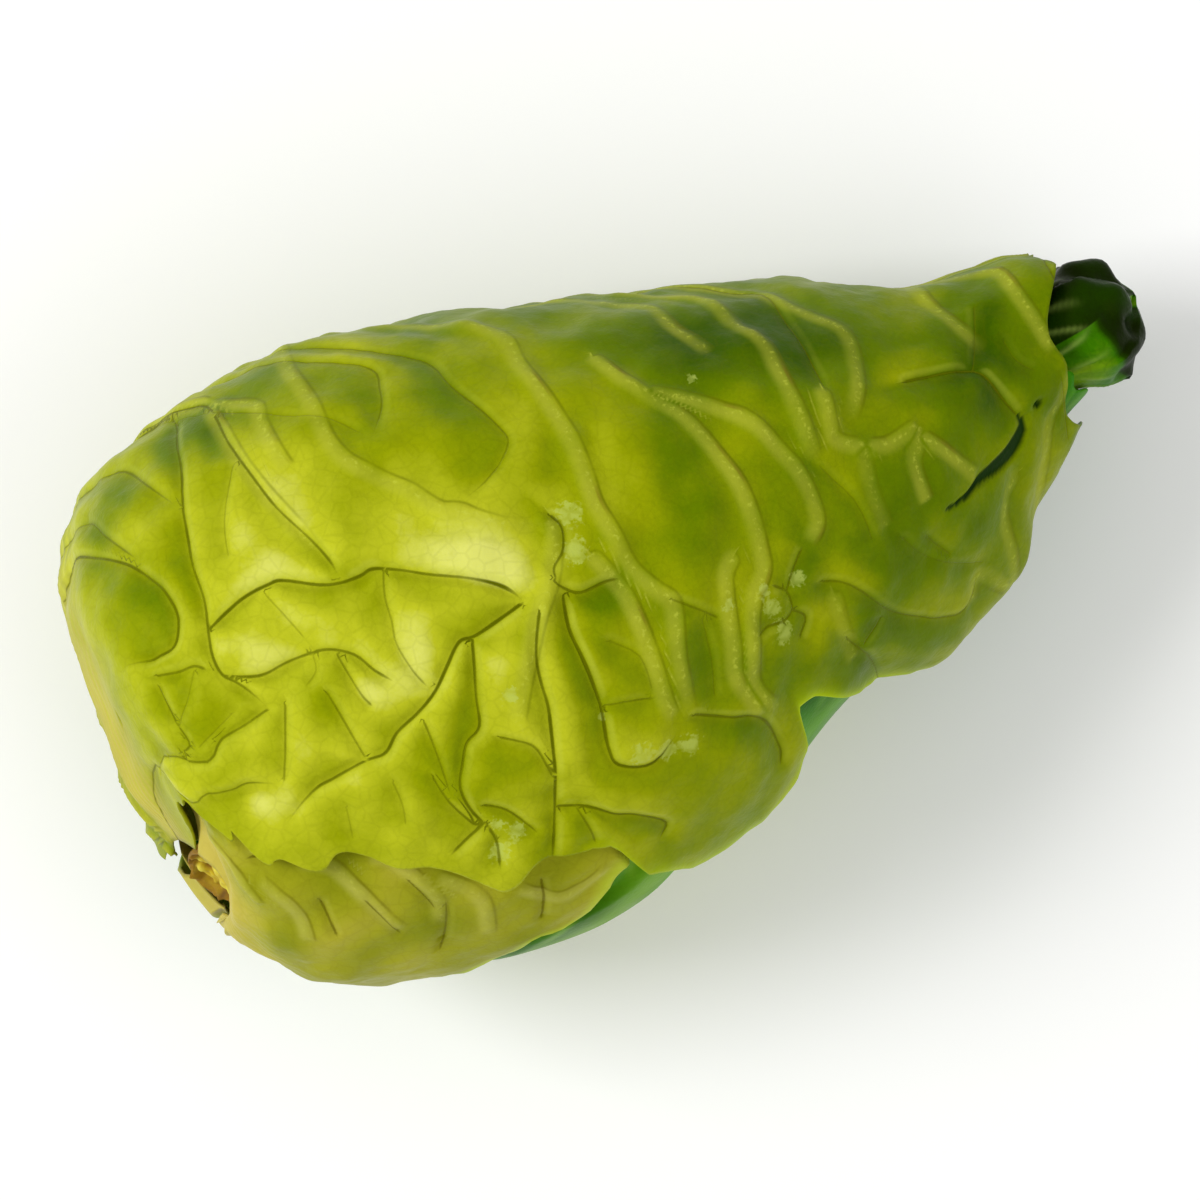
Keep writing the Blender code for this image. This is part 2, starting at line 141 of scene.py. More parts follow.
# %% [markdown]
# ## The camera, and how the photograph's pixels lie on the head
#
# The photograph looks straight down on the head, from far off. A camera with a long lens gives
# the same flat view. The same scale and turn also carry a pixel of the photograph onto the head,
# and that is how the ribs and folds below find their places: each is a short list of pixels,
# laid on the upper half of the skin. What is laid there is real relief, right from any side.

# %% Camera and photograph frame
MM_A_PIXEL = 240 / 1128
RISE = np.radians(24.4)          # how far the head's axis rises to the right
BLUNT_END, AXIS_LINE = -210.0, 750.0     # pixels, once the head's axis is turned level
PHOTO_SIDE = 1200
LENS, SENSOR = 300, 36           # millimetres


def plan_of(pixels):
    """x along the head and y across it: the pixel turned by the axis's rise, then scaled."""
    pixels = np.asarray(pixels, float)
    along = pixels[..., 0] * np.cos(RISE) - pixels[..., 1] * np.sin(RISE)
    across = pixels[..., 0] * np.sin(RISE) + pixels[..., 1] * np.cos(RISE)
    return np.stack([along - BLUNT_END, AXIS_LINE - across], axis=-1) * MM_A_PIXEL


middle = plan_of([PHOTO_SIDE / 2, PHOTO_SIDE / 2])
view_width = PHOTO_SIDE * MM_A_PIXEL
OUTLINE_HEIGHT = 52.0            # height at which the head is widest
camera_data = bpy.data.cameras.new("camera")
camera_data.lens, camera_data.sensor_width = LENS, SENSOR
camera = bpy.data.objects.new("camera", camera_data)
camera.location = (
    (middle[0] - CENTRE[0]) * MM,
    (middle[1] - CENTRE[1]) * MM,
    (OUTLINE_HEIGHT + view_width * LENS / SENSOR) * MM,
)
camera.rotation_euler = (0, 0, -RISE)
bpy.context.scene.collection.objects.link(camera)
bpy.context.scene.camera = camera
print("camera at", [round(v, 3) for v in camera.location])


# %% Lay a route of pixels on the skin
SECTION_LINES = 1500     # how many section lines a pixel is compared with
LEAN_ROUNDS = 4
PAST_END = 50            # how strongly a line that ends short of the pixel is passed over
FAR_OUTLINE = 48         # a line that starts beyond this angle is carried on round the head
SWEEP = 0.045            # sections that a carried line falls back for each degree
FAR_AWAY = 9.0           # distance in mm past which a line has no effect


def place(pixels):
    """Section and angle of each pixel: the section line of the upper half that passes nearest
    to it, and the arcsine of how far along that line it lies, found in a few rounds because
    the sections lean."""
    plan = plan_of(pixels)
    sections = np.linspace(1.2, TIP - 0.2, SECTION_LINES)
    rows = curve_through(SECTIONS, sections)
    centre, half = (rows[:, 0:2] + rows[:, 2:4]) / 2, (rows[:, 2:4] - rows[:, 0:2]) / 2
    length = np.linalg.norm(half, axis=1)
    lean = np.zeros(len(plan))
    for _ in range(LEAN_ROUNDS):
        away = plan[:, None] - np.stack([lean, 0 * lean], axis=-1)[:, None] - centre
        off_line = np.abs(away[..., 0] * half[:, 1] - away[..., 1] * half[:, 0]) / length
        share = (away * half).sum(axis=-1) / length**2
        best = np.argmin(off_line + PAST_END * np.maximum(np.abs(share) - 1.1, 0), axis=1)
        share = np.clip(share[np.arange(len(plan)), best], -1, 1)
        lean = rows[best, 6] * leaning(np.sqrt(1 - share**2))
    return sections[best], np.degrees(np.arcsin(share))


def route(pixels, carry=0):
    """A smooth line in space through the pixels, laid on the skin, and the skin's normals on
    it. A line that starts near the far outline is carried on round it by that many degrees."""
    section, angle = place(pixels)
    if carry and angle[0] > FAR_OUTLINE:
        share = np.linspace(1, 0.25, 4)
        section = np.concatenate([section[0] - SWEEP * carry * share, section])
        angle = np.concatenate([angle[0] + carry * share, angle])
    steps = np.linspace(0, len(section) - 1, 4 * len(section) - 3)
    section, angle = curve_through(np.stack([section, angle], axis=-1), steps).T
    return skin(section, angle), outward(section, angle)


def measure(line, normals, points, reach=FAR_AWAY):
    """For each point: its distance to the line, the same with a minus sign on the line's right,
    and how far along the line its nearest place is, from 0 to 1. Points out of reach keep it."""
    gap, side, along = np.full(len(points), reach), np.full(len(points), reach), np.zeros(len(points))
    low, high = line.min(axis=0) - reach, line.max(axis=0) + reach
    close = np.flatnonzero(((points > low) & (points < high)).all(axis=1))
    here, best, sign, share = points[close], gap[close], np.ones(len(close)), along[close]
    for k, (start, end, normal) in enumerate(zip(line[:-1], line[1:], normals[:-1])):
        step = end - start
        t = np.clip((here - start) @ step / (step @ step), 0, 1)
        off = here - start - t[:, None] * step
        size = np.linalg.norm(off, axis=1)
        nearer = size < best
        best = np.where(nearer, size, best)
        sign = np.where(nearer, np.sign(off @ np.cross(normal, step)), sign)
        share = np.where(nearer, (k + t) / (len(line) - 1), share)
    gap[close], side[close], along[close] = best, best * sign, share
    return gap, side, along


def hump(q):
    """A round ridge: exp(-q^2)."""
    return np.exp(-(q**2))


FAINT = 0.35             # share of its height that a line keeps at its ends, and the least power
WEAKER_BY = 5            # mm that the weakest line counts as farther


def draw(lines, points, carry=0, taper=0.12):
    """What several lines, each (height, half width, pixels), do at each point: the highest ridge,
    distance to the nearest line, its signed distance, its power, which is less for a low line and
    tapers towards the ends, a distance in which weak lines count as farther, and how much
    farther than the nearest line the next one is."""
    high, power = np.zeros(len(points)), np.zeros(len(points))
    gap, side, felt, second = (np.full(len(points), FAR_AWAY) for _ in range(4))
    for height, width, pixels in lines:
        line, normals = route(pixels, carry)
        here, signed, along = measure(line, normals, points)
        strength = ease(1, 1 - taper, along)
        if not carry:
            strength = strength * ease(0, taper, along)
        high = np.maximum(high, height * (FAINT + (1 - FAINT) * strength) * hump(here / width))
        strength = strength * np.clip(height, FAINT, 1.0)
        felt = np.minimum(felt, here + WEAKER_BY * (1 - strength))
        nearer = here < gap
        second = np.minimum(second, np.where(nearer, gap, here))
        gap, side = np.where(nearer, here, gap), np.where(nearer, signed, side)
        power = np.where(nearer, strength, power)
    return {"high": high, "gap": gap, "side": side, "power": power, "felt": felt,
            "apart": second - gap}


def line_marks(ribs, folds):
    """The marks that the leaf material reads. A rib's paint and a fold's painted highlight and
    painted shade fade where another line meets it, because the signed distance jumps there."""
    return {
        "rib_side": ribs["side"], "rib_gap": ribs["gap"],
        "rib_power": ribs["power"] * ease(0.1, 0.9, ribs["apart"]),
        "fold_side": folds["side"], "fold_gap": folds["gap"], "fold_power": folds["power"],
        "fold_sides": folds["power"] * ease(0.1, 1.5, folds["apart"]),
    }


def no_lines(shape):
    """The marks of a piece with no drawn ribs or folds: they are far away everywhere."""
    marks = ("fold_side", "fold_gap", "rib_side", "rib_gap")
    return {mark: np.full(shape, FAR_AWAY) for mark in marks}


# %% [markdown]
# ## Swelling and net
#
# Between its ribs a cabbage leaf swells into soft fields, and a fine net of veins parts each
# field into cells. The swelling is a sum of cosines in random directions, which has no grid and
# no seams. The net is the pattern of borders between random seeds: a point is on a vein where
# its two nearest seeds are equally far. Every draw has its own seed number.

# %% Random swelling and the net of veins
VEIN_WIDTH = 0.9
PILLOW_EDGE = 3.0        # distance from a vein over which a cell's pillow rises
WARP, WARP_SIZE = 1.6, 14
PARTS = 40               # the points are taken in this many parts, to spare memory


def cushion(gap, width):
    """A field that rises from its border: 1 - exp(-gap / width)."""
    return 1 - np.exp(-gap / width)


def swelling(points, size, seed, waves=18):
    """Sum of cosines, each along its own random direction with a length near size."""
    chance = np.random.default_rng(seed)
    ways = unit(chance.normal(size=(waves, 3)))
    pace = 2 * np.pi / size * chance.uniform(0.7, 1.5, waves)
    start = chance.uniform(0, 2 * np.pi, waves)
    return np.cos(points @ (ways * pace[:, None]).T + start).sum(axis=1) * np.sqrt(2 / waves)


def net_of_veins(points, seeds, seed):
    """1 on a border between two seeds' cells and 0 a vein's width away, and the cells' pillows:
    both from the difference between the distances to the two nearest seeds."""
    chance = np.random.default_rng(seed)
    warp = np.stack([swelling(points, WARP_SIZE, seed + k) for k in range(3)], axis=1) * WARP
    at = (points + warp).astype(np.float32)
    centres = at[chance.choice(len(points), seeds, replace=False)]
    gap = np.empty(len(points), np.float32)
    for part in np.array_split(np.arange(len(points)), PARTS):
        away = np.linalg.norm(at[part, None] - centres, axis=2)
        two = np.partition(away, 1, axis=1)
        gap[part] = two[:, 1] - two[:, 0]
    return hump(gap / VEIN_WIDTH), cushion(gap, PILLOW_EDGE)


# %% [markdown]
# ## From grids to blades
#
# A leaf is a thin blade with two faces and a rim. Its outer face needs all the detail, and its
# inner face is seen only at the edge, so the inner grid keeps every third line, and the rim
# joins three fine edges to each coarse one. The inner face takes the lowest relief nearby, so
# that the two never cross. The blade thins towards its edge, as a real leaf does.

# %% Grids, blades and objects
COARSER = 3              # the inner grid keeps every third line
FINE_STEPS = 2000        # how finely the head's top is measured


def even_sections(start, end, share):
    """Sections at equal steps of length along the top of the head, from start to end."""
    fine = np.linspace(0, TIP, FINE_STEPS)
    steps = np.linalg.norm(np.diff(skin(fine, np.zeros(FINE_STEPS)), axis=0), axis=1)
    length = np.concatenate([[0], np.cumsum(steps)])
    first, last = np.interp(start, fine, length), np.interp(end, fine, length)
    return np.interp(first + share * (last - first), length, fine)


def soften(grid, rounds):
    """The grid after some rounds of averaging with its four neighbours."""
    for _ in range(rounds):
        for axis in (0, 1):
            padded = np.concatenate([grid.take([0], axis), grid, grid.take([-1], axis)], axis)
            size = grid.shape[axis]
            before, after = padded.take(range(size), axis), padded.take(range(2, size + 2), axis)
            grid = (before + 2 * grid + after) / 4
    return grid


def lowest_nearby(grid):
    """The least value among a grid point and the neighbours up to two steps away."""
    for axis in (0, 1):
        padded = np.concatenate([grid.take([0, 0], axis), grid, grid.take([-1, -1], axis)], axis)
        size = grid.shape[axis]
        grid = np.min([padded.take(range(k, k + size), axis) for k in range(5)], axis=0)
    return grid


def make_object(name, points, faces, marks):
    """A smooth mesh object in metres, with each mark as a value on its vertices."""
    mesh = bpy.data.meshes.new(name)
    mesh.from_pydata(((points - CENTRE) * MM).tolist(), [], faces)
    mesh.shade_smooth()
    for mark, values in marks.items():
        attribute = mesh.attributes.new(mark, "FLOAT", "POINT")
        attribute.data.foreach_set("value", np.asarray(values, np.float32))
    made = bpy.data.objects.new(name, mesh)
    bpy.context.scene.collection.objects.link(made)
    return made


def blade(name, outer, inner, marks):
    """A closed blade from its fine outer grid and its coarse inner one."""
    rows, columns = outer.shape[:2]
    index = np.arange(rows * columns).reshape(rows, columns)
    under = np.arange(inner.shape[0] * inner.shape[1]).reshape(inner.shape[:2]) + index.size
    faces = []
    for grid, turn in ((index, 1), (under, -1)):
        squares = np.stack([grid[:-1, :-1], grid[1:, :-1], grid[1:, 1:], grid[:-1, 1:]], axis=-1)
        faces += squares.reshape(-1, 4)[:, ::turn].tolist()
    edge = np.concatenate([index[0, :-1], index[:-1, -1], index[-1, :0:-1], index[:0:-1, 0]])
    low = np.concatenate([under[0, :-1], under[:-1, -1], under[-1, :0:-1], under[:0:-1, 0]])
    closed = np.append(edge, edge[0])
    next_low = np.roll(low, -1)
    a, b, c, d = (closed[k::COARSER][: len(low)] for k in range(COARSER + 1))
    triangles = ((a, b, low), (b, c, low), (c, next_low, low), (c, d, next_low))
    rim = np.concatenate([np.stack(corners, -1) for corners in triangles])
    faces += rim.tolist()
    flat = {mark: np.concatenate([grid.ravel(), grid[::COARSER, ::COARSER].ravel()])
            for mark, grid in marks.items()}
    points = np.concatenate([outer.reshape(-1, 3), inner.reshape(-1, 3)])
    return make_object(name, points, faces, flat)


# %% Faces of a closed turned shape
def turned_faces(rows, columns):
    """The squares between rings of points, and a fan at either end round a pole. The two poles
    come after the rings' points."""
    index = np.arange(rows * columns).reshape(rows, columns)
    after = np.roll(index, -1, axis=1)
    squares = np.stack([index[:-1], index[1:], after[1:], after[:-1]], axis=-1).reshape(-1, 4)
    first, last = rows * columns, rows * columns + 1
    start_fan = [(first, i, j) for i, j in zip(index[0].tolist(), after[0].tolist())]
    end_fan = [(last, j, i) for i, j in zip(index[-1].tolist(), after[-1].tolist())]
    return squares.tolist() + start_fan + end_fan


# %% [markdown]
# ## Where each leaf lies
#
# Each leaf is a patch of the head, with two side edges given as angles at some sections, and an
# end edge given as sections at some shares of its width. Its depth counts the leaves that lap
# over it, and rib is the line of its midrib. These numbers shaped the solids too, so
# every finer leaf lies over its own solid. Only beside the stem do the finer leaves reach a little
# closer together than the solids. The outer leaf's near edge is the one that the photograph shows
# best, so it is a list of pixels, taken along that edge.

# %% Outlines of the leaves
LEAF_START = 0.25
EDGE_WAVER = 2.0         # degrees that the side edges waver
END_WAVER = 0.12         # sections that the end edge wavers
LEAVES = {
    "outer_leaf": {
        "depth": 1,
        "near": None,
        "far": ((0.25, 138), (0.5, 138), (0.75, 164), (1.3, 168), (2, 154), (3.5, 140), (11, 138),
                (14, 142), (16, 150)),
        "end": ((0, 15.0), (0.3, 15.2), (0.6, 15.9), (0.8, 15.9), (1, 15.0)),
        "rib": ((0, 84), (3, 88), (6, 104), (11, 112), (16, 88)),
    },
    "lower_leaf": {
        "depth": 2,
        "near": ((0.25, -114), (1.3, -114), (2, -136), (3, -152), (5, -155)),
        "far": ((0.25, 38), (1.3, 30), (2, 24), (4, 14), (6, 0), (9, -22)),
        "end": ((0, 2.8), (0.25, 5.0), (0.45, 6.2), (0.53, 6.6), (0.58, 7.1), (0.62, 7.9),
                (0.66, 8.3), (0.71, 8.6), (0.8, 9.0), (1, 8.8)),
        "rib": ((0, -62), (3, -72), (6, -70), (9, -50)),
    },
    "side_leaf": {
        "depth": 3,
        "near": ((0.25, -176), (1.3, -174), (2, -180), (3, -185), (5, -190)),
        "far": ((0.25, -117), (1.3, -119), (2, -98), (3, -70), (5, -50), (9, -45)),
        "end": ((0, 4.0), (0.3, 5.6), (0.62, 6.4), (0.72, 8.2), (0.78, 8.9), (0.9, 9.3), (1, 8.8)),
        "rib": ((0, -145), (3, -130), (6, -105), (9, -70)),
    },
    "under_leaf": {
        "depth": 4.2,
        "near": ((0.25, -219), (1.3, -219), (3, -236), (6, -238), (11, -236)),
        "far": ((0.25, -179), (1.3, -179), (2.2, -162), (3.5, -130), (5, -95), (6.5, -62),
                (9, -60)),
        "end": ((0, 10.2), (0.3, 11.3), (0.55, 11.4), (0.7, 10.9), (0.76, 9.9), (0.85, 9.4),
                (1, 9.0)),
        "rib": ((0, -198), (4, -188), (11, -165)),
    },
    "inner_leaf": {
        "depth": 2,
        "near": ((9.7, -92), (11.2, -94), (12.2, -128), (13.5, -150), (16, -150)),
        "far": ((9.7, -40), (16, -5)),
        "end": ((0, 14.6), (0.3, 15.3), (0.7, 15.5), (1, 15.2)),
        "rib": ((9.7, -70), (12, -80), (16, -70)),
        "start": 9.7,
    },
}
# The outer leaf's near edge, from the stem to its notch
NEAR_EDGE = (
    (189, 821), (214, 812), (238, 826), (250, 850), (280, 858), (330, 858), (375, 850), (406, 857),
    (442, 868), (470, 872), (500, 876), (535, 865), (560, 858), (590, 838), (612, 838), (633, 858),
    (650, 872), (690, 866), (718, 846), (760, 820), (795, 775), (805, 745), (800, 712), (815, 699),
)
PAST_NOTCH = ((11.0, -60), (11.4, -72), (12.0, -90), (13, -96), (14.5, -97), (16, -95))


def near_edge_of_outer_leaf():
    """(section, angle) points: a short start, the pixels in order, and on past the notch."""
    section, angle = place(NEAR_EDGE)
    order = np.argsort(section)
    seen = [point for point in zip(section[order], angle[order]) if point[0] < 10.9]
    return ((LEAF_START, 41), (0.45, 37), (0.6, 33), (0.9, 28), *seen, *PAST_NOTCH)


def read(points, at):
    """Straight lines between (position, value) points."""
    positions, values = zip(*points)
    return np.interp(at, positions, values)


LEAVES["outer_leaf"]["near"] = near_edge_of_outer_leaf()


def patch(name, rows, columns, crowd=None):
    """Grids of section, angle, and shares u along and v across a leaf. crowd, as (share of the
    columns, share of the width), packs columns closer on the near side."""
    leaf = LEAVES[name]
    t = np.linspace(0, 1, columns)
    if crowd:
        t = np.interp(t, (0, crowd[0], 1), (0, crowd[1], 1))
    u, v = np.meshgrid(np.linspace(0, 1, rows), t, indexing="ij")
    start = leaf.get("start", LEAF_START)
    end = read(leaf["end"], v) + END_WAVER * np.sin(22 * v + leaf["depth"])
    section = even_sections(start, end, u)
    waver = EDGE_WAVER * np.sin(6.5 * section + leaf["depth"]) * ease(1.5, 3, section)
    far = read(leaf["far"], section) - waver
    edge = read(leaf["near"], section) + waver
    soft = np.mean([read(leaf["near"], section + step) for step in np.linspace(-0.9, 0.9, 9)], axis=0)
    return section, soft + v * (far - soft) + (edge - soft) * (1 - v) ** 6, u, v


def leaf_object(name, section, angle, u, v, relief, marks, floor=0.0):
    """The blade of a leaf at its own depth, raised by its relief, pressed flat on the floor."""
    depth = LEAVES[name]["depth"] * PITCH * ease(0.0, 1.0, section)
    base, normal = skin(section, angle), outward(section, angle)
    rim = np.minimum(np.minimum(u, 1 - u), np.minimum(v, 1 - v))
    thick = BLADE * (0.5 + 0.5 * ease(0, 0.02, rim))
    outer = base - normal * (depth - relief)[..., None]
    inner = base - normal * (depth + thick - lowest_nearby(relief))[..., None]
    outer[..., 2] = np.maximum(outer[..., 2], floor)
    inner = inner[::COARSER, ::COARSER]
    inner[..., 2] = np.maximum(inner[..., 2], floor + BLADE)
    made = blade(name + "_fine", outer, inner, marks)
    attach(made, "root")
    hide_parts(name)
    print(name, len(made.data.polygons), "faces")
    return made


# %% [markdown]
# ## Shader sums
#
# A material is a chain of small sums. To keep them readable, one class wraps a socket, so that
# masks are added and multiplied as plain Python, and each sum becomes a node.

# %% A socket that can be reckoned with
class Link:
    """An output socket of a material, on which sums are written in plain Python."""

    def __init__(self, tree, socket=None):
        self.tree, self.socket = tree, socket

    def node(self, kind, settings=None, inputs=None, output=0):
        """Adds a node: first its settings, then the values or links of its sockets."""
        made = self.tree.nodes.new(kind)
        for key, value in (settings or {}).items():
            if key == "stops":
                self.set_stops(made.color_ramp, value)
            else:
                setattr(made, key, value)
        for key, value in (inputs or {}).items():
            if isinstance(value, Link):
                self.tree.links.new(value.socket, made.inputs[key])
            else:
                made.inputs[key].default_value = value
        return Link(self.tree, made.outputs[output])

    @staticmethod
    def set_stops(ramp, stops):
        """Gives a colour ramp its (position, colour) stops."""
        while len(ramp.elements) < len(stops):
            ramp.elements.new(1.0)
        for element, (position, colour) in zip(ramp.elements, stops):
            element.position = position
            element.color = (*colour, 1)

    def maths(self, operation, first, second):
        """A Math node with two inputs, each a value or a link."""
        return self.node("ShaderNodeMath", {"operation": operation}, {0: first, 1: second})

    def mark(self, name):
        """A value painted on the mesh's vertices."""
        return self.node("ShaderNodeAttribute", {"attribute_name": name}, output=2)

    def between(self, first, second):
        """Mixes two colours, with this value as the share of the second."""
        inputs = {0: self, 6: first, 7: second}
        return self.node("ShaderNodeMix", {"data_type": "RGBA"}, inputs, output=2)

    def ramp(self, *stops):
        """A colour for each value, from (position, colour) stops."""
        return self.node("ShaderNodeValToRGB", {"stops": stops}, {0: self})

    def below(self, full, none):
        """1 where this is under full, 0 over none, and smooth between."""
        settings = {"interpolation_type": "SMOOTHSTEP"}
        inputs = {0: self, 1: full, 2: none, 3: 1.0, 4: 0.0}
        return self.node("ShaderNodeMapRange", settings, inputs)

    def size(self):
        """The value without its sign."""
        return self.maths("ABSOLUTE", self, 0.0)

    def inside(self):
        """The value, kept from 0 to 1."""
        return self.node("ShaderNodeMath", {"operation": "ADD", "use_clamp": True}, {0: self, 1: 0.0})

    def __add__(self, other):
        return self.maths("ADD", self, other)

    __radd__ = __add__

    def __sub__(self, other):
        return self.maths("SUBTRACT", self, other)

    def __rsub__(self, other):
        return self.maths("SUBTRACT", other, self)

    def __mul__(self, other):
        return self.maths("MULTIPLY", self, other)

    __rmul__ = __mul__


def srgb(red, green, blue):
    """A screen colour, 0 to 255, as linear light: ((c + 0.055) / 1.055) to the power 2.4."""
    share = np.array([red, green, blue]) / 255
    return tuple(np.where(share < 0.04045, share / 12.92, ((share + 0.055) / 1.055) ** 2.4).tolist())


# %% [markdown]
# ## The leaf finish
#
# A cabbage leaf is thin, waxy and a little see-through. Its green is dark in some parts and
# pale yellow in others. Ribs are paler, with a dry brownish crest and a line of painted shade
# beside them. Folds are thin olive lines of painted shade, with a painted highlight on one side
# and painted shade on the other, and the rim has a painted glow, as if light came through it.
# It could be one picture wrapped round the head, but then colour and relief would drift apart.
# Here the colour follows marks on the mesh, the same that raise the relief, and is laid on in
# layers. A coarse noise clouds the green and the gloss, a fine one grains it and breaks up the
# wax spots and their painted sheen, and a net of small cells lays painted shade along the finest
# veins.

# %% Leaf material
BEIGE = (198, 180, 84)           # where the ribs gather at the stem
# pale wax bloom, with a painted sheen on it
WAX_BLOOM_AND_SHEEN = (180, 194, 92)
# painted shadow: the dark gap under the leaf, seen through the tear and the holes
SHADOW_IN_TEAR = (16, 46, 6)
DRY_CREST = (112, 92, 24)


def leaf_material(name, shades, rib, fleck_and_highlight, crease_shade, rim, crest=DRY_CREST, gloss=0.36):
    """Principled material of a leaf. shades are its stops from dark to bright, and the widths
    in the masks are millimetres from a rib or fold. Besides the leaf's own colours it takes one of
    painted shade for creases, folds and rib sides, one for pale flecks and painted highlights, and
    one for a painted glow at the rim."""
    material = bpy.data.materials.new(name)
    material.use_nodes = True
    tree = material.node_tree
    shader = tree.nodes["Principled BSDF"]
    start = Link(tree)
    place_on = start.node("ShaderNodeTexCoord", output=3)
    cloud = start.node("ShaderNodeTexNoise", None,
                       {"Vector": place_on, "Scale": 85.0, "Detail": 2.0, "Roughness": 0.5})
    grain = start.node("ShaderNodeTexNoise", None,
                       {"Vector": place_on, "Scale": 900.0, "Detail": 2.0, "Roughness": 0.6})
    small = start.node("ShaderNodeTexVoronoi", {"feature": "DISTANCE_TO_EDGE"},
                       {"Vector": place_on, "Scale": 300.0, "Randomness": 1.0})

    # folds: a thin dark line of painted shade where the signed distance passes through 0,
    # painted shade on its right side and a painted highlight on its left
    side, power = start.mark("fold_side"), start.mark("fold_power")
    width = power * cloud * 0.45 - 0.10
    line = (side.size() - width).below(-0.05, 0.34) * start.mark("fold_gap").below(0.7, 1.3) * power
    wide = start.mark("fold_gap").below(1.8, 3.4) * start.mark("fold_sides")
    shade = (side + 1.0).size().below(0.2, 2.2) * wide
    fold_highlight = (side - 1.2).size().below(0.1, 1.1) * wide * power * (cloud * 1.4 - 0.2).inside()

    # ribs: a pale band, a dark line of painted shade along its left, and a crest with pale
    # flecks and brown bits
    rib_side = start.mark("rib_side")
    band = start.mark("rib_gap").below(2.6, 3.8) * start.mark("rib_power")
    cord = (rib_side + 0.5).size().below(0.3, 2.6) * band * (cloud * 1.2).inside()
    beside = (rib_side - 1.7).size().below(0.0, 0.6) * band * (cloud * 1.8 - 0.3).inside()
    flecks = rib_side.size().below(0.2, 1.0) * band * ((grain - 0.54) * 9.0).inside()
    worn = (rib_side - 1.1).size().below(0.1, 0.6) * band * ((cloud - 0.52) * 5.0).inside()

    tone = start.mark("tone") + (cloud - 0.5) * 0.07 + (grain - 0.5) * 0.10
    stops = np.linspace(0, 1, len(shades)).tolist()
    colour = tone.ramp(*((stop, srgb(*green)) for stop, green in zip(stops, shades)))
    wax_and_sheen_cover = ((start.mark("wax") * 1.5 + (grain - 0.5) * 2.2 - 0.75) * 3.0).inside()

    # layers of paint, from the lowest to the topmost: how strongly each covers, and its colour
    layers = (
        # borders of the small cells: painted shade along the finest vein grooves
        (small.below(0.0, 0.12) * 0.10, crease_shade),
        (start.mark("rib") * 0.7, rib),
        (cord * 0.62, rib),
        # painted shade on the right side of each fold
        (shade * 0.22, crease_shade),
        # the dark line beside each rib: painted shade
        (beside * 0.75, crease_shade),
        (start.mark("bundle") * 0.8, BEIGE),
        # pale flecks on the rib crests, and the painted highlight on the left side of each fold
        (fold_highlight * 0.4 + flecks * 0.35, fleck_and_highlight),
        (worn * 0.6, crest),
        # pale wax bloom in grainy spots, with a painted sheen
        (wax_and_sheen_cover * 0.6 - wax_and_sheen_cover * small.below(0.0, 0.25) * 0.3, WAX_BLOOM_AND_SHEEN),
        # painted glow at the rim, as if light came through the leaf's edge
        (start.mark("rim") * 0.85, rim),
        # the thin dark line of each fold: painted shade in the crease
        (line * (cloud * 1.1 + 0.36).inside(), crease_shade),
        # painted shadow in the tear and the two small holes
        (start.mark("tear"), SHADOW_IN_TEAR),
    )
    for cover, paint in layers:
        colour = cover.between(colour, (*srgb(*paint), 1))
    tree.links.new(colour.socket, shader.inputs["Base Color"])

    rough = gloss + (cloud - 0.5) * 0.3 + cord * 0.1 - start.mark("wax") * 0.1
    tree.links.new(rough.socket, shader.inputs["Roughness"])
    height = grain * 0.12 + cloud * 0.22 - line * 0.20
    bump = start.node("ShaderNodeBump", None, {"Strength": 1.0, "Distance": 0.001, "Height": height})
    tree.links.new(bump.socket, shader.inputs["Normal"])
    shader.inputs["Subsurface Weight"].default_value = 0.1
    shader.inputs["Subsurface Radius"].default_value = (1.0, 1.0, 0.25)
    shader.inputs["Subsurface Scale"].default_value = 0.0015
    shader.inputs["Specular IOR Level"].default_value = 0.06
    shader.inputs["Specular Tint"].default_value = (1.0, 1.0, 0.15, 1)
    return material
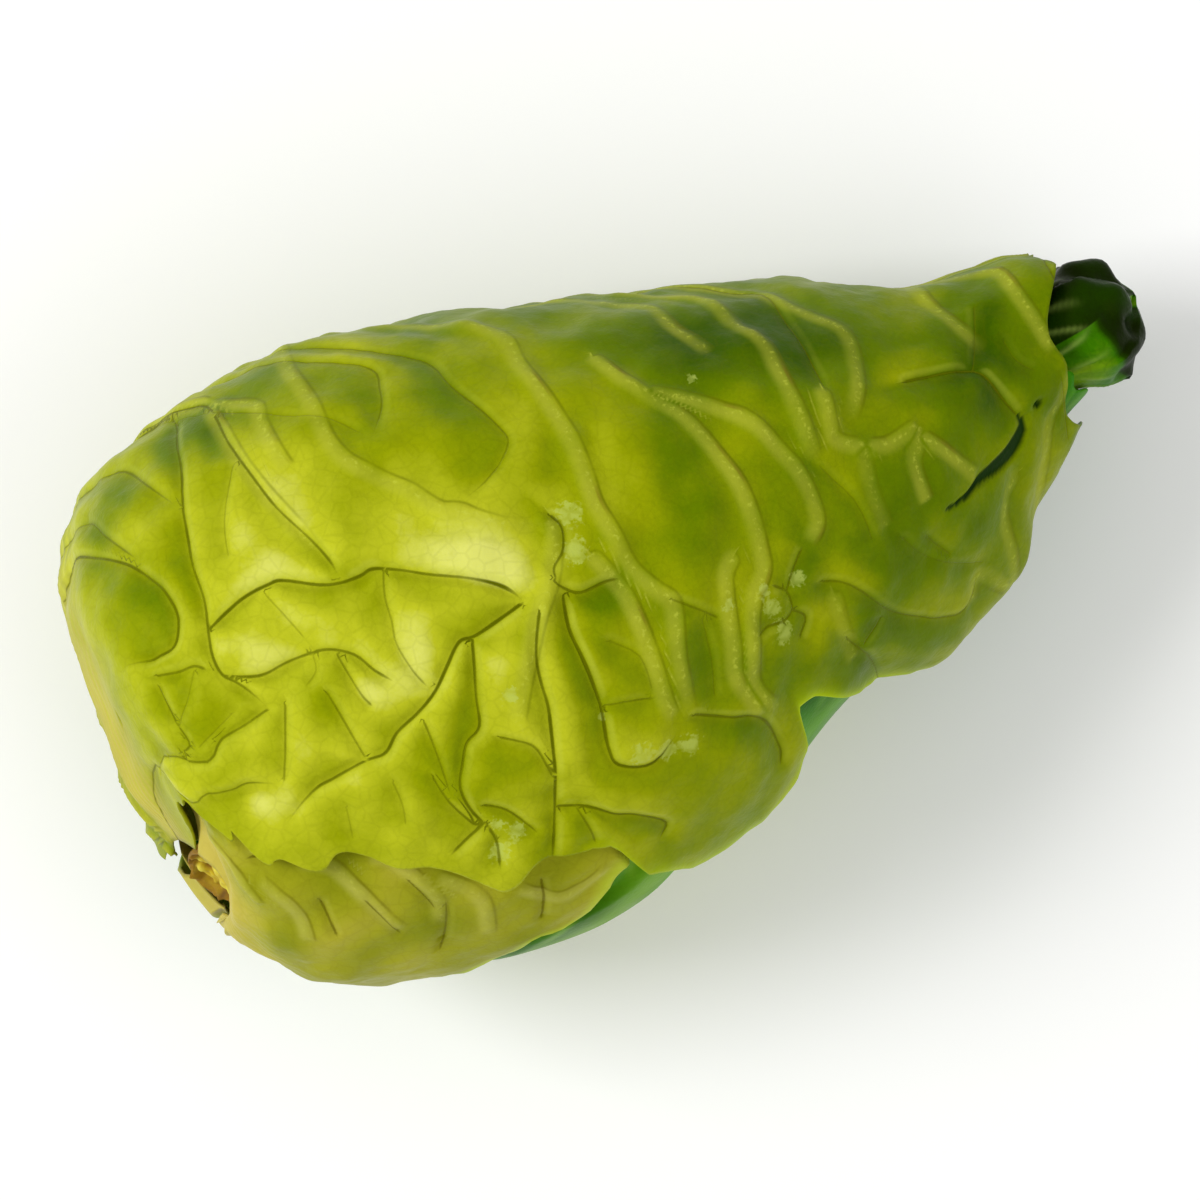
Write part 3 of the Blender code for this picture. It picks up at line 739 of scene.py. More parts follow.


# %% [markdown]
# ## The outer leaf
#
# This is the leaf that makes the picture. It grows from the stem along the blunt end, with its
# midrib low at the back, and is drawn over the top and down the near side. Its side ribs come
# over the far outline as raised cords, and the blade between them is crumpled: sharp folds part
# it into puffed fields. Random wrinkles would look like any leaf's, so each rib and fold is a
# short route of pixels. A rib adds a round ridge, and a fold cuts a thin line and lifts the
# blade on its left. The fields rise with their distance from all lines, like cushions.

# %% Ribs and folds of the outer leaf
# (height, half width, route of pixels); ribs that start near the far outline go on over it
RIBS = (
    (2.3, 2.4, ((277, 352), (293, 375), (316, 404), (332, 439), (347, 458), (365, 470), (392, 482),
                (414, 492), (443, 511), (463, 513), (484, 521), (514, 527), (545, 523))),
    (2.6, 2.2, ((545, 523), (556, 530), (556, 556), (552, 585), (541, 615), (533, 650), (526, 690),
                (520, 722))),
    (2.2, 2.6, ((500, 340), (520, 368), (540, 393), (561, 423), (575, 450), (587, 476), (596, 505),
                (612, 536), (630, 566), (654, 588), (671, 602), (675, 633), (679, 663), (687, 694),
                (691, 720))),
    (1.4, 1.8, ((596, 560), (612, 575), (626, 592), (642, 626), (656, 669), (666, 700), (675, 716))),
    (2.0, 1.9, ((598, 364), (622, 382), (653, 401), (683, 419), (704, 440), (720, 460), (736, 485),
                (747, 511), (757, 542), (762, 571), (752, 596), (750, 622), (750, 655), (754, 684),
                (769, 702), (781, 704))),
    (1.3, 1.6, ((730, 561), (724, 582), (732, 643), (736, 675), (750, 698), (762, 716))),
    (1.9, 2.2, ((655, 395), (687, 401), (724, 411), (755, 429), (775, 450), (796, 474), (810, 501),
                (814, 525), (806, 546))),
    (1.2, 1.6, ((642, 307), (671, 327), (694, 342), (710, 356))),
    (2.0, 2.2, ((700, 300), (734, 327), (761, 348), (775, 374), (787, 399), (802, 434), (814, 464))),
    (1.6, 2.0, ((755, 293), (785, 307), (816, 321), (842, 336), (852, 364), (854, 393), (846, 424))),
    (1.9, 2.1, ((818, 401), (826, 426), (832, 440), (854, 446), (883, 446), (903, 434), (916, 426))),
    (1.2, 1.5, ((916, 426), (916, 444), (911, 464), (918, 489), (924, 503))),
    (1.2, 1.5, ((920, 438), (940, 450), (956, 462), (977, 477))),
    (1.2, 1.6, ((999, 289), (1017, 308), (1038, 330), (1056, 351))),
    (1.5, 2.0, ((256, 405), (266, 424), (275, 440), (289, 463), (295, 471))),
    (1.6, 2.2, ((205, 405), (225, 428), (247, 462), (272, 494), (300, 524), (325, 552))),
    (0.9, 1.6, ((900, 280), (925, 300), (960, 330), (985, 350))),
    (0.6, 0.8, ((1076, 374), (1064, 399), (1051, 431), (1042, 481), (1032, 518), (1020, 553))),
    (0.6, 0.8, ((1017, 481), (1006, 506), (1001, 556), (998, 587))),
    (0.6, 0.8, ((1020, 553), (998, 575), (976, 575), (966, 600))),
    (0.5, 0.8, ((862, 447), (868, 490), (884, 530))),
    (0.5, 0.8, ((835, 600), (842, 630), (852, 660))),
)
# (depth, half width, route of pixels)
FOLDS = (
    (0.9, 0.7, ((211, 408), (234, 444), (260, 479), (285, 510), (316, 538), (336, 561), (346, 577))),
    (0.9, 0.7, ((175, 420), (181, 444), (187, 473), (189, 504), (193, 534), (201, 565), (211, 595),
                (216, 626), (220, 652), (230, 672), (244, 680), (265, 695), (277, 706))),
    (0.8, 0.6, ((277, 706), (252, 723), (230, 736), (203, 760), (170, 782))),
    (0.7, 0.6, ((128, 471), (154, 487), (183, 506))),
    (0.6, 0.6, ((93, 522), (107, 534), (128, 548), (146, 560))),
    (0.9, 0.7, ((92, 556), (113, 558), (136, 564), (160, 579), (175, 593), (186, 617), (182, 644),
                (167, 654), (154, 660), (130, 672))),
    (1.1, 0.8, ((218, 626), (232, 612), (252, 595), (275, 583), (289, 579), (326, 584), (346, 583),
                (367, 575), (379, 568), (406, 569), (434, 574), (473, 578), (500, 584), (516, 592),
                (528, 602))),
    (1.1, 0.8, ((526, 602), (504, 618), (479, 635), (463, 641), (451, 667), (440, 690), (422, 712),
                (402, 731), (391, 751), (371, 759), (340, 776), (320, 788), (290, 825))),
    (1.0, 0.7, ((477, 641), (479, 663), (481, 696), (484, 725), (471, 741), (467, 761), (465, 786),
                (478, 812), (500, 830))),
    (1.1, 0.8, ((565, 596), (571, 627), (583, 655), (596, 684), (604, 708), (610, 745), (620, 763),
                (654, 759), (679, 727))),
    (1.0, 0.7, ((540, 614), (538, 653), (545, 684), (551, 708), (555, 745), (558, 786), (557, 830),
                (553, 862))),
    (0.9, 0.7, ((555, 582), (565, 588), (583, 592), (606, 582), (620, 579))),
    (0.9, 0.7, ((553, 517), (563, 530), (564, 552), (556, 568), (558, 582))),
    (0.9, 0.7, ((232, 674), (267, 674), (295, 660), (316, 652), (336, 648), (361, 653), (381, 669),
                (402, 680))),
    (0.7, 0.6, ((345, 653), (357, 674), (369, 694), (379, 704))),
    (0.6, 0.6, ((389, 569), (391, 596), (398, 620), (402, 643), (418, 669), (434, 686))),
    (0.7, 0.6, ((167, 674), (187, 670), (203, 664), (216, 668))),
    (0.7, 0.6, ((169, 687), (183, 719), (197, 744), (183, 754))),
    (0.7, 0.6, ((162, 789), (190, 791), (216, 790), (240, 787), (256, 780), (291, 780))),
    (0.7, 0.6, ((293, 703), (294, 744), (292, 780))),
    (0.6, 0.6, ((375, 370), (383, 390), (385, 410), (378, 440))),
    (0.6, 0.6, ((430, 360), (450, 382), (470, 400), (492, 420), (510, 440), (505, 462), (488, 485),
                (465, 505))),
    (0.6, 0.6, ((671, 600), (699, 610), (718, 618))),
    (0.8, 0.6, ((695, 714), (725, 717), (756, 716), (772, 728), (781, 750), (778, 765))),
    (0.6, 0.6, ((607, 704), (630, 699), (654, 696))),
    (0.9, 0.6, ((560, 805), (591, 805), (616, 811), (640, 812), (668, 822), (660, 837))),
    (0.6, 0.6, ((580, 806), (592, 826), (598, 840))),
    (0.8, 0.6, ((489, 802), (510, 808), (528, 821), (540, 830))),
    (0.8, 0.6, ((489, 820), (500, 838), (503, 862))),
    (0.8, 0.6, ((438, 775), (455, 800), (478, 822), (489, 820), (470, 836), (452, 850))),
    (0.7, 0.6, ((505, 735), (535, 742), (548, 760), (556, 775))),
    (0.7, 0.5, ((781, 622), (766, 626), (754, 635))),
    (0.7, 0.5, ((785, 592), (793, 567), (800, 548))),
    (0.7, 0.5, ((781, 622), (790, 610), (785, 592), (768, 585))),
    (0.7, 0.5, ((790, 610), (805, 618), (797, 640))),
    (0.9, 0.6, ((903, 382), (934, 375), (971, 372), (995, 389), (1010, 405), (1022, 419))),
    (0.5, 0.5, ((971, 372), (974, 340), (972, 310))),
    (0.6, 0.6, ((823, 583), (842, 584), (862, 594), (887, 611), (907, 616), (934, 615), (954, 607),
                (968, 592), (974, 574))),
    (0.6, 0.5, ((878, 619), (868, 633), (860, 644))),
    (0.5, 0.5, ((927, 539), (938, 548), (950, 556))),
    (0.6, 0.6, ((760, 295), (790, 330), (812, 372), (822, 404))),
    (0.6, 0.6, ((845, 640), (872, 662), (880, 690))),
    (0.6, 0.6, ((335, 690), (360, 735), (372, 757))),
    (0.7, 0.6, ((430, 720), (442, 752), (455, 790))),
    (0.4, 0.5, ((1002, 345), (1015, 362), (1035, 372))),
    (0.4, 0.5, ((273, 593), (292, 615), (313, 638))),
    (0.4, 0.5, ((203, 669), (197, 700), (185, 730))),
    (0.4, 0.5, ((240, 712), (222, 730), (206, 746))),
    (0.4, 0.5, ((399, 779), (408, 800), (411, 819))),
    (0.4, 0.5, ((353, 804), (356, 818), (359, 834))),
    (0.4, 0.5, ((318, 650), (324, 668), (314, 684))),
    (0.4, 0.5, ((610, 640), (640, 655), (652, 690))),
    (0.4, 0.5, ((700, 620), (712, 660), (716, 700))),
    (0.4, 0.5, ((820, 470), (850, 500), (870, 545))),
    (0.4, 0.5, ((900, 540), (930, 560), (985, 560))),
    (0.4, 0.5, ((300, 420), (340, 425), (372, 440))),
    (0.4, 0.5, ((240, 470), (232, 520), (238, 560))),
    (0.4, 0.5, ((1060, 380), (1068, 410), (1066, 440))),
    (0.6, 0.6, ((1046, 262), (1052, 290), (1070, 315))),
)
# (half width in mm, pixel) along the tear, and (radius in mm, pixel) of two small holes
TEAR = ((0.4, (1021, 417)), (1.2, (1025, 430)), (1.7, (1014, 452)), (1.5, (998, 468)),
        (0.9, (980, 482)), (0.5, (962, 499)), (0.3, (943, 510)))
HOLES = ((0.9, (1038, 405)), (0.6, (126, 715)))
# Pale waxy spots, which also carry a painted sheen: pixel and radius in pixels
WAX_AND_SHEEN = ((570, 515, 17), (577, 553, 16), (781, 632, 15), (768, 607, 12), (795, 580, 11), (640, 750, 14),
       (665, 748, 12), (690, 742, 13), (502, 848, 14), (520, 828, 11), (690, 381, 7), (604, 716, 6),
       (512, 693, 11), (760, 590, 8), (725, 605, 8), (500, 820, 8))
# Brighter and darker parts of the blade: pixel, radius in pixels, how much
PATCHES = (
    (460, 545, 55, 0.34), (490, 575, 45, 0.28), (430, 640, 45, 0.22), (405, 700, 40, 0.24),
    (350, 750, 40, 0.22), (290, 800, 26, 0.18), (330, 470, 45, 0.16), (290, 540, 60, 0.14),
    (275, 640, 40, 0.10), (505, 660, 24, 0.25), (600, 470, 40, 0.08), (390, 540, 40, 0.14),
    (725, 350, 75, -0.30), (650, 440, 60, -0.12), (640, 350, 50, -0.12), (800, 340, 50, -0.12),
    (700, 520, 50, -0.08), (960, 330, 60, -0.10), (990, 400, 60, -0.08), (870, 560, 75, -0.06),
    (420, 385, 50, -0.12), (330, 390, 50, -0.14), (140, 600, 50, -0.14), (120, 510, 50, -0.34),
    (195, 430, 60, -0.34), (265, 390, 40, -0.17), (190, 580, 40, -0.12), (540, 490, 35, 0.12),
    (560, 590, 40, 0.12), (740, 500, 50, 0.14), (740, 590, 40, 0.12), (840, 510, 45, 0.10),
    (840, 590, 45, 0.08), (570, 740, 45, 0.12), (660, 740, 40, 0.06), (525, 430, 50, 0.16),
    (615, 430, 60, 0.20), (540, 560, 40, 0.10), (640, 500, 50, 0.10), (370, 690, 24, 0.28),
    (350, 625, 36, 0.14),
    (275, 560, 50, 0.12), (540, 690, 50, 0.12), (240, 780, 34, -0.14), (330, 700, 24, -0.12),
    (265, 798, 14, 0.25), (345, 780, 34, -0.14), (890, 500, 60, -0.06), (980, 400, 50, -0.05),
    (550, 640, 40, 0.08), (600, 650, 40, 0.10), (720, 620, 40, 0.06), (480, 770, 35, -0.08),
    (600, 780, 60, 0.08), (700, 780, 60, 0.04), (210, 700, 40, -0.06), (1030, 520, 60, 0.10),
    (960, 620, 60, 0.08), (1010, 600, 30, 0.10),
)


def soft_spots(points, spots):
    """Sum of strengths, each fading as exp(-(distance / radius)^2) from its place on the skin."""
    spots = np.asarray(spots, float)
    middles = skin(*place(spots[:, :2]))
    total = np.zeros(len(points))
    for middle, radius, strength in zip(middles, spots[:, 2] * MM_A_PIXEL, spots[:, 3]):
        total += strength * np.exp(-(((points - middle) ** 2).sum(axis=1)) / radius**2)
    return total


# %% Side ribs and midribs that follow a rule
SIDE_RIB_WIDTH = 0.13    # in sections
FIBRE_PACE = 1.3         # radians of a midrib's fine lines for each degree


def fan_of_ribs(section, angle, rib, spacing):
    """Side ribs that leave a midrib in pairs and sweep towards the point: ridges at every
    spacing of section minus a small share of the angle from the midrib."""
    from_rib = angle - rib
    bend = 0.25 * np.sin(section * 2.1 + from_rib / 19)
    lane = (section - 0.035 * np.abs(from_rib) + bend) / spacing
    off = np.abs(lane - np.round(lane)) * spacing
    fade = ease(2, 12, np.abs(from_rib)) * ease(110, 45, np.abs(from_rib))
    return hump(off / SIDE_RIB_WIDTH) * fade


def fibres(angle, rib):
    """The fine lines along a midrib: a cosine of the angle from it."""
    return np.cos((angle - rib) * FIBRE_PACE)


def midrib(section, angle, rib):
    """A broad rib at the stem that narrows and sinks along the leaf, with fine lines on it."""
    width = 26 - 18 * ease(0, 5, section)
    height = 2.0 - 1.2 * ease(1, 8, section)
    shape = hump((angle - rib) / width) * ease(0.2, 1.5, section)
    return shape * (height + 0.2 * fibres(angle, rib)), shape


# %% Build the outer leaf
section, angle, u, v = patch("outer_leaf", 313, 280, crowd=(0.90, 0.80))
grid = section.shape
at = skin(section, angle).reshape(-1, 3)
rib_line = read(LEAVES["outer_leaf"]["rib"], section)
ribs = draw(RIBS, at, carry=46, taper=0.1)
folds = draw(FOLDS, at, carry=30)
print(len(RIBS), "ribs and", len(FOLDS), "folds laid on", len(at), "points")


# %% Relief of the outer leaf
def near_spots(points, spots, edge):
    """1 inside any of some (radius in mm, pixel) spots, 0 outside, with a soft edge."""
    middles = skin(*place([pixel for radius, pixel in spots]))
    radii = [radius for radius, pixel in spots]
    gaps = [np.linalg.norm(points - m, axis=1) / r for m, r in zip(middles, radii)]
    return ease(1 + edge, 1 - edge, np.min(gaps, axis=0))


tear_line, tear_normals = route([pixel for width, pixel in TEAR])
tear_gap, _, tear_share = measure(tear_line, tear_normals, at)
tear_width = np.interp(tear_share, np.linspace(0, 1, len(TEAR)), [width for width, pixel in TEAR])
tear = np.maximum(ease(1.25, 0.8, tear_gap / tear_width), near_spots(at, HOLES, 0.3))

net, pillow = net_of_veins(at, 420, 5)
back = fan_of_ribs(section, angle, rib_line, 1.25) * ease(92, 110, angle)
mid_high, mid_mark = midrib(section, angle, rib_line)
lobe = 4.0 * ease(11.2, 12.6, section) * ease(14.6, 13.2, section) * ease(-55, -88, angle)
curl = 5.0 * ease(13.9, 15.6, section) * ease(0, 50, angle) * ease(140, 100, angle)
waves = 0.8 * (1 + np.sin(5.3 * section)) * ease(-40, -85, angle) * ease(8.3, 9.3, section)
fields = 1.5 * cushion(np.minimum(folds["felt"], ribs["gap"] * 1.2), 4.5)
rib_high = ribs["high"] * (0.72 + 0.16 * swelling(at, 16, 4))
sides = np.tanh(folds["side"] / 1.3) * np.exp(-folds["gap"] / 7) * folds["power"]
sides = sides * ease(0, 2.5, folds["apart"])
sides = soften(sides.reshape(grid), 3).ravel()
relief = (
    0.45 + fields + 0.75 * sides + rib_high - folds["high"] * 0.6
    + 0.35 * swelling(at, 30, 1) + 0.22 * swelling(at, 13, 2) + 0.06 * swelling(at, 5, 3)
    + 0.14 * pillow + 0.08 * net - 1.3 * tear
).reshape(grid)
relief = np.maximum(soften(relief, 1), 0.0) * (0.3 + 0.7 * ease(0.4, 2.0, section))
relief = relief + 1.3 * back + mid_high + lobe + curl + waves

# %% Marks of the outer leaf
bundle = hump((angle - rib_line + 12) / 28) * ease(5, 1.6, section)
glow_from_edge = np.where(section < 8.0, 14, np.minimum((angle - angle[:, :1]) * 1.1, 14))
lightness = ((0, 0.46), (2, 0.58), (4, 0.64), (6.5, 0.62), (8, 0.50), (9.5, 0.38), (12, 0.30),
             (16, 0.26))
# 0.20 * sides is painted highlight on each fold's lifted left side and painted shade on its right
tone = (
    soft_spots(at, PATCHES) + 0.20 * sides
    + 0.05 * swelling(at, 28, 11) + 0.015 * swelling(at, 9, 12)
).reshape(grid) + read(lightness, section)
marks = {
    "tone": tone - 0.10 * ease(60, 100, angle) - 0.3 * mid_mark * fibres(angle, rib_line),
    "rib": np.maximum(back, mid_mark),
    "bundle": bundle * (0.7 + 0.3 * fibres(angle, rib_line)),
    **line_marks(ribs, folds),
    # painted glow along the near edge towards the point
    "rim": np.exp(-glow_from_edge / 2.6) * ease(8, 9, section),
    "wax": np.clip(soft_spots(at, [(*spot, 1.0) for spot in WAX_AND_SHEEN]), 0, 1),
    "tear": tear,
}
marks = {mark: np.reshape(values, grid) for mark, values in marks.items()}
outer_leaf = leaf_object("outer_leaf", section, angle, u, v, relief, marks)
outer_leaf.data.materials.append(leaf_material(
    "outer_leaf",
    shades=((54, 84, 0), (96, 120, 0), (144, 154, 4), (182, 187, 34), (214, 216, 106)),
    rib=(178, 181, 58), fleck_and_highlight=(196, 204, 72), crease_shade=(92, 98, 0), rim=(176, 200, 0),
))

# %% [markdown]
# ## The lower leaf
#
# The paler leaf at the stem's lower side has lost its green: it is beige near the stem, with
# ribs that fan out from there. Its routes come from the picture as well, and the rest of its
# ribs, on the hidden side, follow the rule for side ribs.

# %% Build the lower leaf
LOWER_RIBS = (
    (1.2, 1.8, ((205, 838), (228, 862), (251, 890), (262, 905))),
    (1.0, 1.6, ((300, 862), (334, 866), (356, 884), (375, 902), (392, 920), (408, 934))),
    (0.9, 1.5, ((372, 858), (395, 862), (420, 880), (440, 897), (446, 930))),
    (0.8, 1.5, ((262, 880), (290, 900), (306, 925), (312, 945))),
    (0.9, 1.6, ((440, 880), (470, 890), (488, 905), (492, 940))),
    (0.8, 1.4, ((520, 890), (560, 900), (590, 888), (612, 868))),
)
LOWER_FOLDS = (
    (0.9, 0.9, ((246, 861), (275, 858), (304, 859), (350, 851), (400, 852))),
    (0.7, 0.7, ((324, 900), (332, 918), (342, 939))),
    (0.7, 0.7, ((369, 900), (388, 920), (406, 939))),
    (0.7, 0.7, ((410, 880), (426, 896), (440, 914))),
    (0.7, 0.7, ((450, 905), (450, 930), (443, 958))),
    (0.7, 0.6, ((545, 880), (548, 905), (545, 925))),
)

section, angle, u, v = patch("lower_leaf", 151, 151)
grid = section.shape
at = skin(section, angle).reshape(-1, 3)
rib_line = read(LEAVES["lower_leaf"]["rib"], section)
ribs = draw(LOWER_RIBS, at)
folds = draw(LOWER_FOLDS, at)
# 1 where the outer leaf doesn't lie on it
shows = ease(0, -8, angle - read(LEAVES["outer_leaf"]["near"], section))
net, pillow = net_of_veins(at, 130, 25)
fan = fan_of_ribs(section, angle, rib_line, 1.1) * ease(-92, -104, angle)
mid_high, mid_mark = midrib(section, angle, rib_line)
fields = 0.9 * cushion(np.minimum(folds["felt"], ribs["gap"]), 4)
relief = (
    0.5 + fields + ribs["high"] - 0.6 * folds["high"] + 0.10 * net + 0.12 * pillow
    + 0.25 * swelling(at, 18, 31) + 0.10 * swelling(at, 7, 32)
).reshape(grid) + 0.8 * fan + 0.25 * mid_high
relief = np.maximum(relief * shows, 0)
marks = {
    "tone": 0.42 + 0.34 * ease(3.6, 1.4, section) + 0.09 * swelling(at, 20, 33).reshape(grid)
            + 0.10 * ease(6.5, 8.7, section),
    "rib": fan * 0.7, "bundle": 0.7 * ease(2.2, 0.8, section), **line_marks(ribs, folds),
    # painted glow along the leaf's end edge
    "rim": ease(0.06, 0.0, 1 - u) * 0.7,
}
marks = {mark: np.reshape(values, grid) for mark, values in marks.items()}
lower_leaf = leaf_object("lower_leaf", section, angle, u, v, relief, marks)
lower_leaf.data.materials.append(leaf_material(
    "lower_leaf",
    shades=((102, 112, 4), (132, 138, 14), (156, 156, 30), (174, 167, 52), (192, 178, 84)),
    rib=(184, 182, 84), fleck_and_highlight=(184, 186, 76), crease_shade=(98, 92, 6), rim=(186, 208, 50),
    crest=(160, 156, 70), gloss=0.4,
))

# %% [markdown]
# ## The side, under and inner leaves
#
# Three more leaves show only as bands, but each is whole. The side leaf is dark green, the under
# leaf is pale and carries the head, and the inner leaf is vivid green in the outer leaf's notch
# and beside the point. They share one recipe: a midrib, side ribs by rule, a net and a swelling,
# all only where no other leaf presses on them.

# %% Build the other leaves
def past_lower_leaf(section, angle):
    """How many sections a place is beyond the lower leaf's end edge."""
    leaf = LEAVES["lower_leaf"]
    near, far = read(leaf["near"], section), read(leaf["far"], section)
    return section - read(leaf["end"], (angle - near) / (far - near))


def plain_leaf(name, rows, columns, clear_part, seed, tone):
    """A leaf whose relief is all by rule, raised only where clear_part says it is bare. tone is
    its mean place between the dark and the bright shades."""
    section, angle, u, v = patch(name, rows, columns)
    grid = section.shape
    at = skin(section, angle).reshape(-1, 3)
    rib_line = read(LEAVES[name]["rib"], section)
    net, pillow = (part.reshape(grid) for part in net_of_veins(at, 160, seed))
    fan = fan_of_ribs(section, angle, rib_line, 1.15)
    mid_high, mid_mark = midrib(section, angle, rib_line)
    bare = clear_part(section, angle)
    relief = bare * (0.25 + 0.9 * fan + 0.6 * mid_high + 0.12 * net + 0.12 * pillow
                     + 0.14 * swelling(at, 16, seed + 1).reshape(grid))
    if name == "side_leaf":
        # it stands out further beside the stem and past the lower leaf's end
        by_stem = ease(0.3, 0.8, section) * ease(2, 1.2, section) * ease(-119, -130, angle)
        past_end = ease(0.25, 0.6, past_lower_leaf(section, angle)) * ease(-104, -92, angle)
        relief = relief + 2.8 * by_stem + 2.0 * past_end
    marks = {
        "tone": tone + 0.12 * swelling(at, 22, seed + 2).reshape(grid),
        "rib": np.maximum(fan * 0.8, mid_mark),
        "bundle": ease(1.8, 0.7, section),
        # painted glow along the leaf's end edge
        "rim": 0.8 * ease(0.05, 0.0, 1 - u),
        **no_lines(grid),
    }
    return leaf_object(name, section, angle, u, v, np.maximum(relief, 0), marks)


side_leaf = plain_leaf(
    "side_leaf", 121, 121, lambda s, a: ease(-150, -165, a) * ease(0.9, 1.6, s), seed=41, tone=0.40)
side_leaf.data.materials.append(leaf_material(
    "side_leaf", shades=((26, 78, 0), (44, 104, 0), (66, 128, 0), (100, 156, 8), (144, 182, 36)),
    rib=(120, 166, 36), fleck_and_highlight=(108, 158, 24), crease_shade=(24, 60, 0), rim=(84, 156, 0)))

under_leaf = plain_leaf(
    "under_leaf", 181, 151,
    lambda s, a: ease(5.2, 6.6, s) * ease(-108, -125, a) * ease(-212, -198, a) * 0.9,
    seed=51, tone=0.55)
under_leaf.data.materials.append(leaf_material(
    "under_leaf",
    shades=((92, 128, 10), (130, 158, 30), (160, 182, 52), (188, 204, 84), (210, 220, 120)),
    rib=(206, 214, 128), fleck_and_highlight=(200, 212, 110), crease_shade=(90, 110, 16), rim=(200, 220, 80)))

inner_leaf = plain_leaf(
    "inner_leaf", 121, 91, lambda s, a: 0.4 * ease(-88, -110, a), seed=61, tone=0.42)
inner_leaf.data.materials.append(leaf_material(
    "inner_leaf", shades=((16, 62, 0), (30, 94, 0), (52, 124, 4), (88, 156, 20), (136, 186, 54)),
    rib=(104, 162, 36), fleck_and_highlight=(92, 152, 26), crease_shade=(14, 48, 0), rim=(60, 136, 6)))

# %% [markdown]
# ## The heart
#
# Inside the wrappers is a hard head of leaves, each lapping over the next. A real one has dozens.
# Only the outermost edges show, so one closed surface carries them: its depth grows like a saw
# tooth round the head, and each drop is the edge of a leaf. At the point the leaves are dark and
# crinkled.

# %% Leaf edges and crinkles of the heart
HEART_LEAVES = 4
HEART_STEP = 1.2         # how far each leaf edge stands out
HEART_START = 2.8        # section of its blunt end
FOLD_REACH = 14.0        # how far the dark leaf reaches from its edge
# The edge of the dark leaf at the point, over a greener one
HEART_FOLD = ((1058, 262), (1074, 284), (1090, 308), (1106, 334), (1120, 356), (1128, 372))
STEM_MIDDLE = np.array([9.6, -29.0, 68.5])     # middle of the cut face
STEM_STUB = 6.0          # how long the stem is
STEM_REACH = 5           # how far the heart goes on inside, below the stem

rows, columns = 241, 240
u, v = np.meshgrid(np.linspace(0, 1, rows), np.arange(columns) / columns, indexing="ij")
section = even_sections(HEART_START, np.full_like(u, TIP - 0.12), u)
angle = 360 * v
grid = section.shape
at = skin(section, angle).reshape(-1, 3)
turn = HEART_LEAVES * v + 0.09 * section + 0.02 * np.sin(9 * section)
lap_share = turn - np.floor(turn)
lap = HEART_STEP * lap_share * ease(1.0, 0.97, lap_share)
# depth under all the wrappers, inside the outer leaf's opening, and at the bare point
deep, shallow, bare = 5.9 * PITCH, 3.8 * PITCH, 0.9
depth = deep - (deep - shallow) * ease(11.6, 13.2, section)
depth = depth - (shallow - bare) * ease(15.3, 16.2, section)
end = ease(15.6, 16.3, section)
crinkle = end * ease(17.9, 17.0, section) * (
    0.8 * np.sin(np.radians(5 * angle) + 3 * section) + 0.5 * swelling(at, 8, 71).reshape(grid))
tip_line, tip_normals = route(HEART_FOLD)
tip_gap, tip_side, _ = (
    part.reshape(grid) for part in measure(tip_line, tip_normals, at, reach=FOLD_REACH))
dark_leaf = ease(-1.0, 1.0, tip_side) * (tip_gap < FOLD_REACH) * ease(14.8, 15.4, section)
crinkle = crinkle + 0.9 * dark_leaf * ease(17.8, 16.8, section)
net, pillow = (part.reshape(grid) for part in net_of_veins(at, 500, 72))
heart_rib = fan_of_ribs(section, (angle + 180) % 90 - 45, np.zeros(grid), 1.2)
relief = lap + crinkle + 0.10 * net + 0.10 * pillow + 0.5 * heart_rib * (1 - end)
print("heart of", HEART_LEAVES, "lapped leaves, relief up to", relief.max().round(1), "mm")

# %% Build the heart
shell = skin(section, angle) - outward(section, angle) * (depth - relief)[..., None]
shell[..., 2] = np.maximum(shell[..., 2], 1.5 * PITCH)
heart_base = STEM_MIDDLE - (STEM_STUB + STEM_REACH) * STEM_AXIS
poles = np.stack([heart_base, skin(np.array(TIP), np.array(0.0))])
dark_side = angle < 110
dark = np.maximum(dark_leaf, ease(14.0, 15.2, section) * dark_side)
lap_edge = ease(0.9, 1.0, lap_share) * (1 - end)
marks = {
    "tone": 0.75 - 0.25 * ease(12.5, 14.5, section) + 0.10 * swelling(at, 18, 73).reshape(grid)
            - 0.42 * dark + 0.14 * lap_edge,
    "rib": heart_rib * 0.7 * (1 - end),
    "bundle": ease(5.0, 3.6, section),
    **no_lines(grid),
}
# the two poles: beige at the stem, plain at the point
marks = {mark: np.append(values, [float(mark == "bundle"), 0.0]) for mark, values in marks.items()}
points = np.concatenate([shell.reshape(-1, 3), poles])
heart = make_object("heart_fine", points, turned_faces(rows, columns), marks)
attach(heart, "root")
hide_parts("heart")
heart.data.materials.append(leaf_material(
    "heart", shades=((12, 28, 0), (24, 54, 0), (54, 112, 0), (120, 156, 20), (186, 204, 96)),
    rib=(150, 176, 80), fleck_and_highlight=(90, 130, 30), crease_shade=(18, 44, 0), rim=(60, 120, 0)))
print("heart", len(heart.data.polygons), "faces")

# %% [markdown]
# ## The cut stem
#
# The stem was cut across with a knife: a woody brown wall round a yellow pith that has shrunk
# into small hollows. A turned oval gives the wall, and its end face is the same oval in rings,
# sunk in the middle, with the pith's hollows as soft random swelling.

# %% Build the stem
HALF_WIDTH, HALF_HEIGHT = 7.2, 12.0
RINGS, RING_POINTS = 79, 144
side = unit(np.cross((0, 0, 1), STEM_AXIS))
up = np.cross(STEM_AXIS, side)
